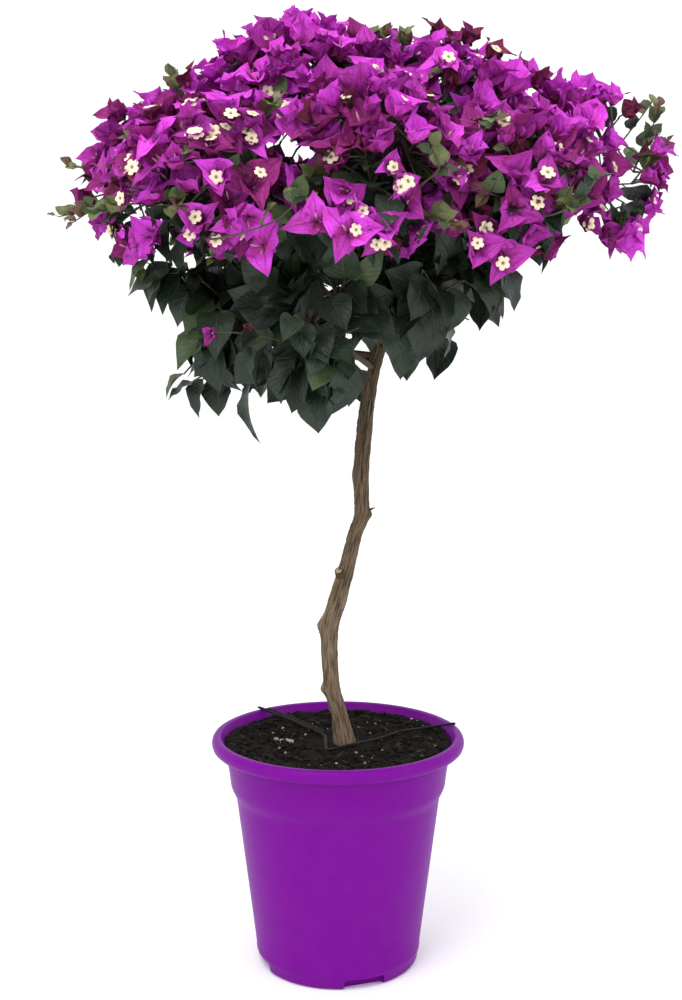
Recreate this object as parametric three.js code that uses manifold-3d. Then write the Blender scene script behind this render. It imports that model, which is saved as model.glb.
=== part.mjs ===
import * as THREE from 'three';
import { mergeVertices } from 'three/addons/utils/BufferGeometryUtils.js';
import Module from 'manifold-3d';

// A papery-bracted flowering shrub trained on one bare stem, standing in its nursery pot.
// Millimetres, +Z up. The origin is the middle of the pot's flat underside and -Y is its front.

const wasm = await Module();
wasm.setup();

const clearance = 0.3;
const settleDistance = 1e-3;

// Pot: a tapering shell with a rolled rim, a deeper collar under it and a notched foot.
const potHeight = 203;
const rimRadius = 110.5;
const rimInnerRadius = 102;
const rimDepth = 12;
const rimRound = 2;
const collarTopRadius = 98.5;
const collarFootRadius = 94;
const collarFootZ = 159;
const bodyTopRadius = 89.5;
const bodyTopZ = 150;
const footRadius = 71;
const footRound = 4;
const potWall = 2.6;
const potFloor = 11;
const potSides = 32;
const notchCount = 4;
const notchWidth = 36;
const notchHeight = 9;
const notchDepth = 9;
const notchFirstAngle = -71;

// Potting soil: fills the pot to a little below its rim.
const soilTopZ = 194.5;
const soilBump = 1.6;
const soilRings = 3;
const soilEdgeDrop = 1;

// Trunk: centre line from the soil to the fork, with the radius at both ends.
const trunkBase = [6, -5, soilTopZ + clearance];
const trunkPath = [
  trunkBase,
  [1, -5, 222],
  [-5, -4, 246],
  [-7, -3, 276],
  [-6.5, -1, 299],
  [-1, 1, 321],
  [7, 2, 349],
  [14, 4, 377],
  [20, 5, 397],
  [20, 6, 430],
  [23, 7, 468],
  [26, 8, 496],
  [31, 9, 522],
  [38, 10, 550],
  [42, 10, 570],
];
const trunkFootRadius = 7.4;
const trunkTopRadius = 5.8;
const trunkFlare = 1.6;
const trunkFlareHeight = 24;
const trunkSides = 9;
const trunkRings = 26;
const trunkBurl = 0.7;

// Knots on the trunk: height, direction round it, how far each stands out and how wide it is.
const knots = [
  { z: 245, angle: 188, reach: 11, radius: 4.4 },
  { z: 299, angle: 180, reach: 12, radius: 5.6 },
  { z: 346, angle: -130, reach: 8.5, radius: 4.6 },
  { z: 397, angle: -14, reach: 14, radius: 4 },
];

// Strap: a thin plastic strip that lies over the rim at both ends and bends round the trunk's foot.
const strapPath = [
  [-74.5, 79.5, 205.2],
  [-71, 76, 205],
  [-41, 48, 201],
  [-12, 13, 197],
  [-9, -29, 196.6],
  [37, 3, 197.4],
  [55, 17, 199.6],
  [100, 24, 205],
  [105, 25, 205.2],
];
const strapRadius = 1.7;

// Crown: every mass has its own rounded space. The kind says what it carries.
const crown = {
  bloom_top: { kind: 'bloom', at: [-34, 2, 744], size: [88, 92, 74] },
  bloom_top_right: { kind: 'bloom', at: [84, -8, 738], size: [84, 90, 70] },
  bloom_left: { kind: 'bloom', at: [-142, -6, 680], size: [80, 96, 70] },
  bloom_right: { kind: 'bloom', at: [200, 0, 690], size: [81, 98, 72] },
  bloom_front_left: { kind: 'bloom', at: [-92, -122, 668], size: [84, 82, 66] },
  bloom_front: { kind: 'bloom', at: [24, -142, 676], size: [76, 78, 72] },
  bloom_front_right: { kind: 'bloom', at: [132, -112, 664], size: [80, 82, 64] },
  bloom_back_left: { kind: 'bloom', at: [-90, 124, 680], size: [84, 82, 66] },
  bloom_back: { kind: 'bloom', at: [26, 144, 688], size: [78, 76, 70] },
  bloom_back_right: { kind: 'bloom', at: [138, 116, 674], size: [82, 82, 64] },
  leaves_left: { kind: 'leaves', at: [-84, -26, 568], size: [67, 92, 78] },
  leaves_front: { kind: 'leaves', at: [-20, -86, 560], size: [78, 84, 84] },
  leaves_right: { kind: 'leaves', at: [77, -50, 596], size: [72, 86, 56] },
  leaves_back_left: { kind: 'leaves', at: [-48, 88, 572], size: [88, 84, 78] },
  leaves_back_right: { kind: 'leaves', at: [84, 82, 588], size: [80, 86, 66] },
};

// The heart of the crown: sprays are dealt to the side of each mass that faces away from it.
const crownHearts = { bloom: [20, 0, 640], leaves: [20, 0, 570] };

// Boughs: the limb each one leaves, how far along that limb, and the mass its tip enters.
const boughs = {
  bough_top: { from: 'trunk', along: 0.99, into: 'bloom_top', sag: 6 },
  bough_left: { from: 'trunk', along: 0.955, into: 'bloom_left', sag: -10 },
  bough_right: { from: 'trunk', along: 0.975, into: 'bloom_right', sag: -12 },
  bough_front: { from: 'trunk', along: 0.93, into: 'bloom_front', sag: -8 },
  bough_back: { from: 'trunk', along: 0.945, into: 'bloom_back', sag: -8 },
  bough_top_right: { from: 'bough_top', along: 0.22, into: 'bloom_top_right', sag: 4 },
  bough_front_left: { from: 'bough_left', along: 0.3, into: 'bloom_front_left', sag: -4 },
  bough_back_left: { from: 'bough_left', along: 0.42, into: 'bloom_back_left', sag: -4 },
  bough_front_right: { from: 'bough_right', along: 0.3, into: 'bloom_front_right', sag: -4 },
  bough_back_right: { from: 'bough_right', along: 0.4, into: 'bloom_back_right', sag: -4 },
};
const boughFootRadius = 4.4;
const boughTipRadius = 2.7;
const boughSides = 5;
const boughRings = 5;

// Leafy masses hang from short shoots on the trunk: where along it each shoot starts.
const shootStarts = {
  leaves_left: 0.9,
  leaves_front: 0.87,
  leaves_right: 0.915,
  leaves_back_left: 0.885,
  leaves_back_right: 0.9,
};

// Twigs, flower heads and leaves: sizes and how many each kind of mass grows.
const twigSides = 3;
const stemRadius = 2.6;
const twigRadius = 2.1;
const twigTipRadius = 1.4;
const spaceGap = 1.2;
const mainTwigs = 3;
const mainShare = 0.4;
const tipDepths = [1, 0.8, 0.62];
const growth = {
  bloom: { sprays: 14, tips: 22, spread: 30, sideLeaves: 1, leafEvery: 4, tilt: 62, droop: 0.15 },
  leaves: { sprays: 11, tips: 18, spread: 26, sideLeaves: 2, leafEvery: 2, tilt: 40, droop: 0.7 },
};
const leafBlade = { length: 66, width: 44, thickness: 2, widest: 0.4, thickest: 0.12 };
const leafSink = 0.6;
const hubRadius = 4.2;
const crossingMost = 0.01;

// A flower head: three papery bracts in one cup, drawn by the reach of each point of its edge.
const head = {
  radius: 40,
  cup: 0.42,
  thickness: 4.4,
  keel: 6,
  edge: [1, 0.66, 0.66],
};
const headSides = 9;
const sizeSteps = [1, 0.86, 0.74];

const vec = (p) => new THREE.Vector3(p[0], p[1], p[2]);

// Small repeatable random source, one for each mass.
function seeded(seed) {
  let state = seed >>> 0;
  return () => {
    state = (Math.imul(state, 1664525) + 1013904223) >>> 0;
    return state / 4294967296;
  };
}

function toSolid(geometry, nearness = 1e-4) {
  const bare = geometry.clone();
  bare.deleteAttribute('normal');
  bare.deleteAttribute('uv');
  const merged = mergeVertices(bare, nearness);
  const index = Array.from(merged.index.array);
  const kept = [];
  for (let i = 0; i < index.length; i += 3) {
    const [a, b, c] = index.slice(i, i + 3);
    if (a !== b && b !== c && c !== a) {
      kept.push(a, b, c);
    }
  }
  return new wasm.Manifold(new wasm.Mesh({
    numProp: 3,
    vertProperties: new Float32Array(merged.attributes.position.array),
    triVerts: new Uint32Array(kept),
  }));
}

function toGeometry(solid) {
  const mesh = solid.getMesh();
  const geometry = new THREE.BufferGeometry();
  geometry.setAttribute('position', new THREE.BufferAttribute(new Float32Array(mesh.vertProperties), 3));
  geometry.setIndex(new THREE.BufferAttribute(new Uint32Array(mesh.triVerts), 1));
  geometry.computeVertexNormals();
  return geometry;
}

// Joining can leave a loose scrap or a sealed hollow: the outer body alone is kept.
function mainBody(solid) {
  const bodies = solid.decompose();
  bodies.sort((a, b) => b.volume() - a.volume());
  return bodies[0];
}

// Corners closer than a micrometre are made one, which can set another scrap loose.
function settled(solid) {
  return mainBody(toSolid(toGeometry(mainBody(solid)), settleDistance));
}

function joined(solids) {
  let whole = solids[0];
  for (const piece of solids.slice(1)) {
    whole = whole.add(piece);
  }
  return settled(whole);
}

// Turns a profile of [radius, z] points about Z.
function turned(profile, sides) {
  const points = profile.map(([r, z]) => new THREE.Vector2(r, z));
  const geometry = new THREE.LatheGeometry(points, sides);
  geometry.rotateX(Math.PI / 2);
  return geometry;
}

function bodyRadiusAt(z) {
  const share = (z - footRound) / (bodyTopZ - footRound);
  return footRadius + (bodyTopRadius - footRadius) * share;
}

function potOuterProfile() {
  return [
    [0, 0],
    [footRadius - footRound, 0],
    [footRadius - footRound * 0.3, footRound * 0.3],
    [footRadius, footRound],
    [bodyRadiusAt(bodyTopZ / 2), bodyTopZ / 2],
    [bodyTopRadius, bodyTopZ],
    [collarFootRadius - 0.6, collarFootZ - 2],
    [collarFootRadius, collarFootZ],
    [collarTopRadius, potHeight - rimDepth],
    [rimRadius - rimRound, potHeight - rimDepth],
    [rimRadius, potHeight - rimDepth + rimRound],
    [rimRadius, potHeight - rimRound],
    [rimRadius - rimRound, potHeight],
    [rimInnerRadius + rimRound, potHeight],
  ];
}

// The hollow's wall from the rim down to the floor, moved inwards by a gap where the soil lies.
function potInnerProfile(gap) {
  return [
    [rimInnerRadius - gap, potHeight - rimRound],
    [collarTopRadius - potWall - gap, potHeight - rimDepth - 2],
    [collarFootRadius - potWall - gap, collarFootZ],
    [bodyTopRadius - potWall - gap, bodyTopZ],
    [bodyRadiusAt(potFloor) - potWall - gap, potFloor + gap],
    [0, potFloor + gap],
  ];
}

function makePot() {
  const shell = toSolid(turned([...potOuterProfile(), ...potInnerProfile(0)], potSides));
  let cut = shell;
  for (let i = 0; i < notchCount; i += 1) {
    const angle = THREE.MathUtils.degToRad(notchFirstAngle + (360 / notchCount) * i);
    const notch = new THREE.BoxGeometry(notchDepth * 2, notchWidth, notchHeight * 2);
    notch.translate(footRadius, 0, 0);
    notch.rotateZ(angle);
    cut = cut.subtract(toSolid(notch));
  }
  return mainBody(cut);
}

// Gentle lumps on the soil that die away at the trunk's foot, so that the foot stands on a flat.
function soilLump(x, y) {
  const away = Math.hypot(x - trunkBase[0], y - trunkBase[1]);
  const fade = THREE.MathUtils.smoothstep(away, 24, 50);
  return soilBump * fade * (Math.sin(x * 0.11 + 1.3) * Math.cos(y * 0.13) + 0.5 * Math.sin(y * 0.23 - x * 0.07));
}

function makeSoil() {
  const [lip, ...side] = potInnerProfile(clearance);
  const shoulder = side[0];
  const edgeZ = soilTopZ - soilEdgeDrop;
  const share = (edgeZ - shoulder[1]) / (lip[1] - shoulder[1]);
  const edgeRadius = shoulder[0] + (lip[0] - shoulder[0]) * share;
  const profile = [];
  for (let i = 0; i < soilRings; i += 1) {
    profile.push([(edgeRadius * i) / soilRings, soilTopZ]);
  }
  profile.push([edgeRadius, edgeZ], ...side);
  const geometry = turned(profile.reverse(), potSides);
  const position = geometry.attributes.position;
  for (let i = 0; i < position.count; i += 1) {
    if (position.getZ(i) > soilTopZ - 0.01) {
      position.setZ(i, soilTopZ + soilLump(position.getX(i), position.getY(i)));
    }
  }
  return toSolid(geometry);
}

// A round limb along a curve: an upright cylinder whose rings are laid along the path.
function limbSolid(curve, radiusAt, sides, rings) {
  const geometry = new THREE.CylinderGeometry(1, 1, 1, sides, rings);
  const frames = curve.computeFrenetFrames(rings, false);
  const position = geometry.attributes.position;
  for (let i = 0; i < position.count; i += 1) {
    const share = 0.5 + position.getY(i);
    const ring = Math.round(share * rings);
    const spread = Math.hypot(position.getX(i), position.getZ(i));
    const angle = Math.atan2(position.getX(i), position.getZ(i));
    const reach = spread < 0.5 ? 0 : radiusAt(ring / rings, angle);
    const middle = curve.getPointAt(ring / rings);
    middle.addScaledVector(frames.normals[ring], reach * Math.cos(angle));
    middle.addScaledVector(frames.binormals[ring], reach * Math.sin(angle));
    position.setXYZ(i, middle.x, middle.y, middle.z);
  }
  return toSolid(geometry);
}

function taper(foot, tip) {
  return (share) => foot + (tip - foot) * share;
}

function trunkRadiusAt(share, angle) {
  const length = limbs.trunk.length;
  const flare = trunkFlare * Math.max(0, 1 - (share * length) / trunkFlareHeight);
  const burl = trunkBurl * Math.sin(angle * 3 + share * 17) * Math.sin(share * 31);
  return taper(trunkFootRadius, trunkTopRadius)(share) + flare + burl;
}

function makeTrunk(curve) {
  const pieces = [limbSolid(curve, trunkRadiusAt, trunkSides, trunkRings)];
  for (const knot of knots) {
    const share = (knot.z - trunkBase[2]) / (trunkPath.at(-1)[2] - trunkBase[2]);
    const spot = curve.getPointAt(nearestShare(curve, knot.z, share));
    const angle = THREE.MathUtils.degToRad(knot.angle);
    const cone = new THREE.CylinderGeometry(knot.radius * 0.45, knot.radius, knot.reach, 7);
    cone.translate(0, knot.reach / 2, 0);
    cone.rotateX(-0.5);
    cone.rotateZ(angle - Math.PI / 2);
    cone.translate(spot.x, spot.y, spot.z);
    pieces.push(toSolid(cone));
  }
  const whole = joined(pieces);
  const ground = new THREE.BoxGeometry(80, 80, 40);
  ground.translate(trunkBase[0], trunkBase[1], trunkBase[2] - 20);
  return mainBody(whole.subtract(toSolid(ground)));
}

// The share along an upright curve at which it passes a given height.
function nearestShare(curve, z, guess) {
  let share = guess;
  for (let i = 0; i < 12; i += 1) {
    share += (z - curve.getPointAt(THREE.MathUtils.clamp(share, 0, 1)).z) / curve.getLength();
  }
  return THREE.MathUtils.clamp(share, 0, 1);
}

// How far a mass's rounded space reaches from its middle in one direction.
function reachOf(mass, direction) {
  const [a, b, c] = mass.size;
  return 1 / Math.hypot(direction.x / a, direction.y / b, direction.z / c);
}

// A mass keeps to its rounded space and to its own side of a flat wall towards every neighbour.
function wallsOf(name) {
  const mine = crown[name];
  const walls = [];
  for (const [other, mass] of Object.entries(crown)) {
    if (other === name) {
      continue;
    }
    const away = vec(mass.at).sub(vec(mine.at));
    const distance = away.length();
    const normal = away.divideScalar(distance);
    const here = reachOf(mine, normal);
    const there = reachOf(mass, normal);
    walls.push({ normal, limit: (distance * here) / (here + there) - spaceGap / 2 });
  }
  return walls;
}

function makeSpace(name) {
  const mass = crown[name];
  const middle = vec(mass.at);
  const walls = wallsOf(name);
  return (point) => {
    const from = point.clone().sub(middle);
    const round = Math.hypot(from.x / mass.size[0], from.y / mass.size[1], from.z / mass.size[2]);
    return round <= 1 && walls.every((wall) => from.dot(wall.normal) <= wall.limit);
  };
}

// Walks from an inside point along a direction to the edge of a space.
function edgeDistance(inside, start, direction) {
  let low = 0;
  let high = 260;
  for (let i = 0; i < 22; i += 1) {
    const middle = (low + high) / 2;
    if (inside(start.clone().addScaledVector(direction, middle))) {
      low = middle;
    } else {
      high = middle;
    }
  }
  return low;
}

// A tapering three-sided twig between two points.
function twigGeometry(start, end, foot, tip) {
  const span = end.clone().sub(start);
  const geometry = new THREE.CylinderGeometry(tip, foot, span.length(), twigSides);
  geometry.translate(0, span.length() / 2, 0);
  const turn = new THREE.Quaternion().setFromUnitVectors(new THREE.Vector3(0, 1, 0), span.normalize());
  geometry.applyQuaternion(turn);
  geometry.translate(start.x, start.y, start.z);
  return geometry;
}

// A thin leaf of eight faces that starts at its root and points along a direction.
function leafGeometry(share, root, direction, face) {
  const geometry = new THREE.OctahedronGeometry(1, 0);
  const side = new THREE.Vector3().crossVectors(direction, face).normalize();
  const up = new THREE.Vector3().crossVectors(side, direction).normalize();
  const position = geometry.attributes.position;
  const length = leafBlade.length * share;
  for (let i = 0; i < position.count; i += 1) {
    const y = position.getY(i);
    const across = Math.abs(position.getX(i)) > 0.5 ? leafBlade.widest : leafBlade.thickest;
    const along = y > 0.5 ? length : y < -0.5 ? 0 : length * across;
    const point = root.clone().addScaledVector(direction, along);
    point.addScaledVector(side, position.getX(i) * leafBlade.width * share * 0.5);
    point.addScaledVector(up, position.getZ(i) * leafBlade.thickness * 0.5);
    position.setXYZ(i, point.x, point.y, point.z);
  }
  return geometry;
}

function pointsOf(geometry) {
  const position = geometry.attributes.position;
  const points = [];
  for (let i = 0; i < position.count; i += 1) {
    points.push(new THREE.Vector3().fromBufferAttribute(position, i));
  }
  return points;
}

// Directions spread evenly all round, each moved a little.
function spreadDirections(count, random) {
  const directions = [];
  const golden = Math.PI * (3 - Math.sqrt(5));
  for (let i = 0; i < count; i += 1) {
    const z = 1 - (2 * (i + 0.5)) / count;
    const ring = Math.sqrt(1 - z * z);
    const angle = i * golden + (random() - 0.5) * 0.5;
    const direction = new THREE.Vector3(ring * Math.cos(angle), ring * Math.sin(angle), z);
    directions.push(direction.normalize());
  }
  return directions;
}

// The directions of a mass's tips: those of an even spread that face out of the crown.
function tipDirections(mass, rule, random) {
  const outward = vec(mass.at).sub(vec(crownHearts[mass.kind])).normalize();
  const all = spreadDirections(rule.spread, random);
  all.sort((a, b) => b.dot(outward) - a.dot(outward));
  return all.slice(0, rule.tips);
}

// True when a new piece would run into a limb, or a piece that grew from another twig.
function crosses(solid, placed, group) {
  const box = solid.boundingBox();
  for (const other of [...obstacles, ...placed]) {
    if (other.group === group) {
      continue;
    }
    const apart = [0, 1, 2].some((k) => box.min[k] > other.box.max[k] || other.box.min[k] > box.max[k]);
    if (!apart && solid.intersect(other.solid).volume() > crossingMost) {
      return true;
    }
  }
  return false;
}

function keep(solid, placed, group, blade = false) {
  placed.push({ solid, box: solid.boundingBox(), group, blade });
}

// A cupped head of three bracts facing along a direction, its middle on the twig's end.
function headGeometry(share, root, direction, turn) {
  const radius = head.radius * share;
  const geometry = new THREE.ConeGeometry(1, 1, headSides);
  const position = geometry.attributes.position;
  for (let i = 0; i < position.count; i += 1) {
    const x = position.getX(i);
    const z = position.getZ(i);
    if (Math.hypot(x, z) < 0.5) {
      const under = position.getY(i) < 0;
      position.setXYZ(i, under ? head.keel * share : 0, (under ? -0.5 : 0.5) * head.thickness, 0);
      continue;
    }
    const step = Math.round((Math.atan2(z, x) / (Math.PI * 2)) * headSides + headSides) % headSides;
    const reach = head.edge[step % head.edge.length] * radius;
    const lean = reach * head.cup;
    position.setXYZ(i, x * reach, lean, z * reach);
  }
  geometry.rotateY(turn);
  geometry.applyQuaternion(new THREE.Quaternion().setFromUnitVectors(new THREE.Vector3(0, 1, 0), direction));
  geometry.translate(root.x, root.y, root.z);
  return geometry;
}

// Keeps the largest version of a piece that stays in the space, clear of limbs and other sprays.
function placeLargest(spray, makeGeometry) {
  for (const share of sizeSteps) {
    const geometry = makeGeometry(share);
    if (!pointsOf(geometry).every(spray.inside)) {
      continue;
    }
    const solid = toSolid(geometry);
    if (!crosses(solid, spray.placed, spray.group)) {
      keep(solid, spray.placed, spray.group, true);
      return true;
    }
  }
  return false;
}

function tilted(direction, tilt, turn) {
  const helper = Math.abs(direction.z) > 0.9 ? new THREE.Vector3(1, 0, 0) : new THREE.Vector3(0, 0, 1);
  const side = new THREE.Vector3().crossVectors(direction, helper).normalize();
  side.applyAxisAngle(direction, turn);
  const angle = THREE.MathUtils.degToRad(tilt);
  return direction.clone().multiplyScalar(Math.cos(angle)).addScaledVector(side, Math.sin(angle));
}

function drooped(direction, droop) {
  return new THREE.Vector3(direction.x, direction.y, direction.z - droop).normalize();
}

// One mass: a stem from its limb, a few main twigs, and from those a twig to every tip.
function growMass(name, stemStart, seed) {
  const mass = crown[name];
  const rule = growth[mass.kind];
  const random = seeded(seed);
  const inside = makeSpace(name);
  const middle = vec(mass.at);
  const placed = [];
  let stem = toSolid(twigGeometry(stemStart, middle, stemRadius, twigRadius));
  for (const limb of obstacles) {
    stem = mainBody(stem.subtract(limb.solid));
  }
  keep(stem, placed, 'wood');

  const addTwig = (start, end, foot, tip, group) => {
    const twig = twigGeometry(start, end, foot, tip);
    const solid = toSolid(twig);
    const blocked = crosses(solid, placed.filter((piece) => piece.blade), group);
    if (blocked || !pointsOf(twig).every(inside)) {
      return false;
    }
    keep(solid, placed, group);
    return true;
  };
  const addHub = (at) => {
    const hub = new THREE.OctahedronGeometry(hubRadius, 0);
    hub.translate(at.x, at.y, at.z);
    if (!crosses(toSolid(hub), [], 'wood')) {
      keep(toSolid(hub), placed, 'wood');
    }
  };

  addHub(middle);
  const forks = [middle];
  for (const direction of spreadDirections(mainTwigs, random)) {
    const end = middle.clone().addScaledVector(direction, edgeDistance(inside, middle, direction) * mainShare);
    if (addTwig(middle, end, twigRadius, twigRadius * 0.9, 'wood')) {
      addHub(end);
      forks.push(end);
    }
  }

  let sprays = 0;
  tipDirections(mass, rule, random).forEach((direction, group) => {
    const room = edgeDistance(inside, middle, direction);
    const tipRoom = mass.kind === 'bloom' ? head.radius * (0.42 + random() * 0.2) : leafBlade.length * 0.66;
    const turn = random() * Math.PI * 2;
    const sideways = new THREE.Vector3(direction.x, direction.y, 0.25);
    const spray = { inside, placed, group };
    for (const depth of tipDepths) {
      if (sprays >= rule.sprays) {
        return;
      }
      const tip = middle.clone().addScaledVector(direction, Math.max(14, (room - tipRoom) * depth));
      const start = [...forks].sort((a, b) => a.distanceTo(tip) - b.distanceTo(tip))[0];
      const along = tip.clone().sub(start).normalize();
      const facing = along.clone().add(direction).normalize();
      const out = drooped(tilted(facing, 10, turn), rule.droop);
      const root = tip.clone().addScaledVector(out, -leafSink);
      const before = placed.length;
      const grown = placeLargest(spray, (share) => (mass.kind === 'bloom'
        ? headGeometry(share, tip, facing, turn)
        : leafGeometry(share, root, out, sideways)));
      if (!grown) {
        continue;
      }
      if (!addTwig(start, tip, twigRadius * 0.85, twigTipRadius, group)) {
        placed.length = before;
        continue;
      }
      sprays += 1;
      const sideLeaves = group % rule.leafEvery === 0 ? rule.sideLeaves : 0;
      for (let i = 0; i < sideLeaves; i += 1) {
        const aim = drooped(tilted(along, rule.tilt, turn + 1 + i * 2.6), rule.droop);
        const spot = start.clone().lerp(tip, 0.45 + 0.25 * i + random() * 0.15);
        spot.addScaledVector(aim, -leafSink);
        placeLargest(spray, (share) => leafGeometry(share, spot, aim, sideways));
      }
      return;
    }
  });
  return joined(placed.map((piece) => piece.solid));
}

// Colours and finishes.
const paints = {
  pot: new THREE.MeshStandardMaterial({ name: 'pot_plastic', color: 0x7f1aa0, roughness: 0.42, metalness: 0 }),
  soil: new THREE.MeshStandardMaterial({ name: 'soil', color: 0x2c2824, roughness: 0.95, metalness: 0 }),
  strap: new THREE.MeshStandardMaterial({ name: 'strap_plastic', color: 0x17181a, roughness: 0.4, metalness: 0 }),
  bark: new THREE.MeshStandardMaterial({ name: 'bark', color: 0x6d6052, roughness: 0.9, metalness: 0 }),
  bloom: new THREE.MeshStandardMaterial({ name: 'bloom', color: 0x9a1c9e, roughness: 0.7, metalness: 0 }),
  leaves: new THREE.MeshStandardMaterial({ name: 'leaf', color: 0x2f3b31, roughness: 0.55, metalness: 0 }),
};

const shrub = new THREE.Group();
shrub.name = 'shrub';

function place(name, solid, paint) {
  const mesh = new THREE.Mesh(toGeometry(solid), paint.clone());
  mesh.name = name;
  shrub.add(mesh);
}

const limbs = {};
const limbSolids = {};
const obstacles = [];

place('pot', makePot(), paints.pot);
place('soil', makeSoil(), paints.soil);

const strapCurve = new THREE.CatmullRomCurve3(strapPath.map(vec), false, 'catmullrom', 0.05);
place('strap', limbSolid(strapCurve, () => strapRadius, 4, 14), paints.strap);

const trunkCurve = new THREE.CatmullRomCurve3(trunkPath.map(vec));
limbs.trunk = { curve: trunkCurve, length: trunkCurve.getLength() };
place('trunk', makeTrunk(trunkCurve), paints.bark);
limbSolids.trunk = limbSolid(trunkCurve, (t, a) => trunkRadiusAt(t, a) + clearance, trunkSides, trunkRings);

// A bough bows a little between its foot and the place where it meets its mass.
for (const [name, bough] of Object.entries(boughs)) {
  const foot = limbs[bough.from].curve.getPointAt(bough.along);
  const middle = vec(crown[bough.into].at);
  const inside = makeSpace(bough.into);
  const bend = foot.clone().lerp(middle, 0.5);
  bend.z += bough.sag;
  const outward = bend.clone().sub(middle).normalize();
  const tip = middle.clone().addScaledVector(outward, edgeDistance(inside, middle, outward) * 0.82);
  const curve = new THREE.CatmullRomCurve3([foot, foot.clone().lerp(bend, 0.5), bend, tip]);
  const tipRadius = boughTipRadius;
  limbs[name] = { curve, length: curve.getLength() };
  let solid = limbSolid(curve, taper(boughFootRadius, tipRadius), boughSides, boughRings);
  for (const earlier of Object.values(limbSolids)) {
    solid = solid.subtract(earlier);
  }
  place(name, settled(solid), paints.bark);
  limbSolids[name] = limbSolid(
    curve,
    (t) => taper(boughFootRadius, tipRadius)(t) + clearance,
    boughSides,
    boughRings,
  );
}

// Where a mass's stem starts: just clear of its bough's tip, or at the trunk's middle, where the
// trunk grown by the gap trims it.
function stemStartOf(name) {
  for (const [boughName, bough] of Object.entries(boughs)) {
    if (bough.into === name) {
      const tip = limbs[boughName].curve.getPointAt(1);
      const along = limbs[boughName].curve.getTangentAt(1);
      return tip.addScaledVector(along, clearance);
    }
  }
  return trunkCurve.getPointAt(shootStarts[name]);
}

for (const solid of Object.values(limbSolids)) {
  keep(solid, obstacles, 'limb');
}
Object.keys(crown).forEach((name, order) => {
  const solid = growMass(name, stemStartOf(name), 4201 + order * 97);
  place(name, solid, paints[crown[name].kind]);
});

export default shrub;
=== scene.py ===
import math
import bmesh
import bpy
import numpy as np
from mathutils import Matrix, Vector, noise


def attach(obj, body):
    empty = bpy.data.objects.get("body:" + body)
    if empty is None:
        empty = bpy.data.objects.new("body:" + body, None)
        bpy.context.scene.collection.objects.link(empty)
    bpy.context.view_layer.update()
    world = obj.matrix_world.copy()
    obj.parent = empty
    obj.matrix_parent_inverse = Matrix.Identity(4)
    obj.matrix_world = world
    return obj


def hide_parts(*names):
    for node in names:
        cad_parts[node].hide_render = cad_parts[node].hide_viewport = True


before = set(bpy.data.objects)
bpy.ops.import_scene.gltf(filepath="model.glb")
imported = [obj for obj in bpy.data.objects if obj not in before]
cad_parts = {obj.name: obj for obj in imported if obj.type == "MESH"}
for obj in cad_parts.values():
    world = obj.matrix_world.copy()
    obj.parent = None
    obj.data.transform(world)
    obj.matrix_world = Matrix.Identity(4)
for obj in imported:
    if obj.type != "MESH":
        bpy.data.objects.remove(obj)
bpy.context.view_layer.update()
mm = 0.001  # the plant is worked out in millimetres and written in metres


# camera, floor and light
studio = {
    "cameraAt": (0.0026, -1.166, 0.5464), "pitchDown": 6.71, "lens": 49.07, "sensor": 36, "nearest": 0.05,
    "floorSize": 60.0, "floorColor": (0.98, 0.98, 0.98), "skyColor": (0.985, 0.99, 1.0), "skyStrength": 1.15,
    "lights": [  # name, place, aim, size, power and colour
        ("topLight", (-0.5, -0.95, 2.25), (0, 0, 0.6), 1.1, 20, (1.0, 0.98, 0.95)),
        ("frontLight", (-1.2, -1.7, 1.2), (0, 0, 0.45), 1.2, 6, (1.0, 1.0, 1.0)),
        ("sideLight", (1.6, -0.6, 0.9), (0, 0, 0.4), 1.2, 4.5, (0.96, 0.97, 1.0)),
    ],
}


def linkObject(name, data):
    made = bpy.data.objects.new(name, data)
    bpy.context.scene.collection.objects.link(made)
    return made


def makeCamera():
    camera = linkObject("frontCamera", bpy.data.cameras.new("frontCamera"))
    camera.location = studio["cameraAt"]
    camera.rotation_euler = (math.radians(90 - studio["pitchDown"]), 0, 0)
    camera.data.sensor_width = studio["sensor"]
    camera.data.lens = studio["lens"]
    camera.data.clip_start = studio["nearest"]
    bpy.context.scene.camera = camera


def makeLight(name, place, aim, size, power, color):
    lamp = bpy.data.lights.new(name, "AREA")
    lamp.size = size
    lamp.energy = power
    lamp.color = color
    holder = linkObject(name, lamp)
    holder.location = place
    holder.rotation_euler = (Vector(aim) - Vector(place)).to_track_quat("-Z", "Y").to_euler()


def makeStudio():
    world = bpy.data.worlds.new("softSky")
    world.use_nodes = True
    sky = world.node_tree.nodes["Background"]
    sky.inputs["Color"].default_value = (*studio["skyColor"], 1)
    sky.inputs["Strength"].default_value = studio["skyStrength"]
    bpy.context.scene.world = world
    bpy.context.scene.view_settings.view_transform = "Standard"
    for light in studio["lights"]:
        makeLight(*light)
    build = bmesh.new()
    bmesh.ops.create_grid(build, x_segments=2, y_segments=2, size=studio["floorSize"] / 2)
    floor = meshObject("floor", build)
    paper, _, shader = newMaterial("floorPaper", 0.9, 0.5)
    shader.inputs["Base Color"].default_value = (*studio["floorColor"], 1)
    floor.data.materials.append(paper)
    print("studio made")


# small helpers
def meshObject(name, build, smooth=True):
    data = bpy.data.meshes.new(name)
    build.to_mesh(data)
    build.free()
    if smooth:
        data.polygons.foreach_set("use_smooth", [True] * len(data.polygons))
    return linkObject(name, data)


def finishPiece(piece, slotName, *nodes):
    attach(piece, "root")
    if nodes:
        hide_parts(*nodes)


def mergeInto(whole, build):
    data = bpy.data.meshes.new("part")
    build.to_mesh(data)
    build.free()
    whole.from_mesh(data)
    bpy.data.meshes.remove(data)


def blendValue(low, high, share):
    return low + (high - low) * share


def smoothStep(value, low, high):
    share = min(1.0, max(0.0, (value - low) / (high - low)))
    return share * share * (3 - 2 * share)


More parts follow.
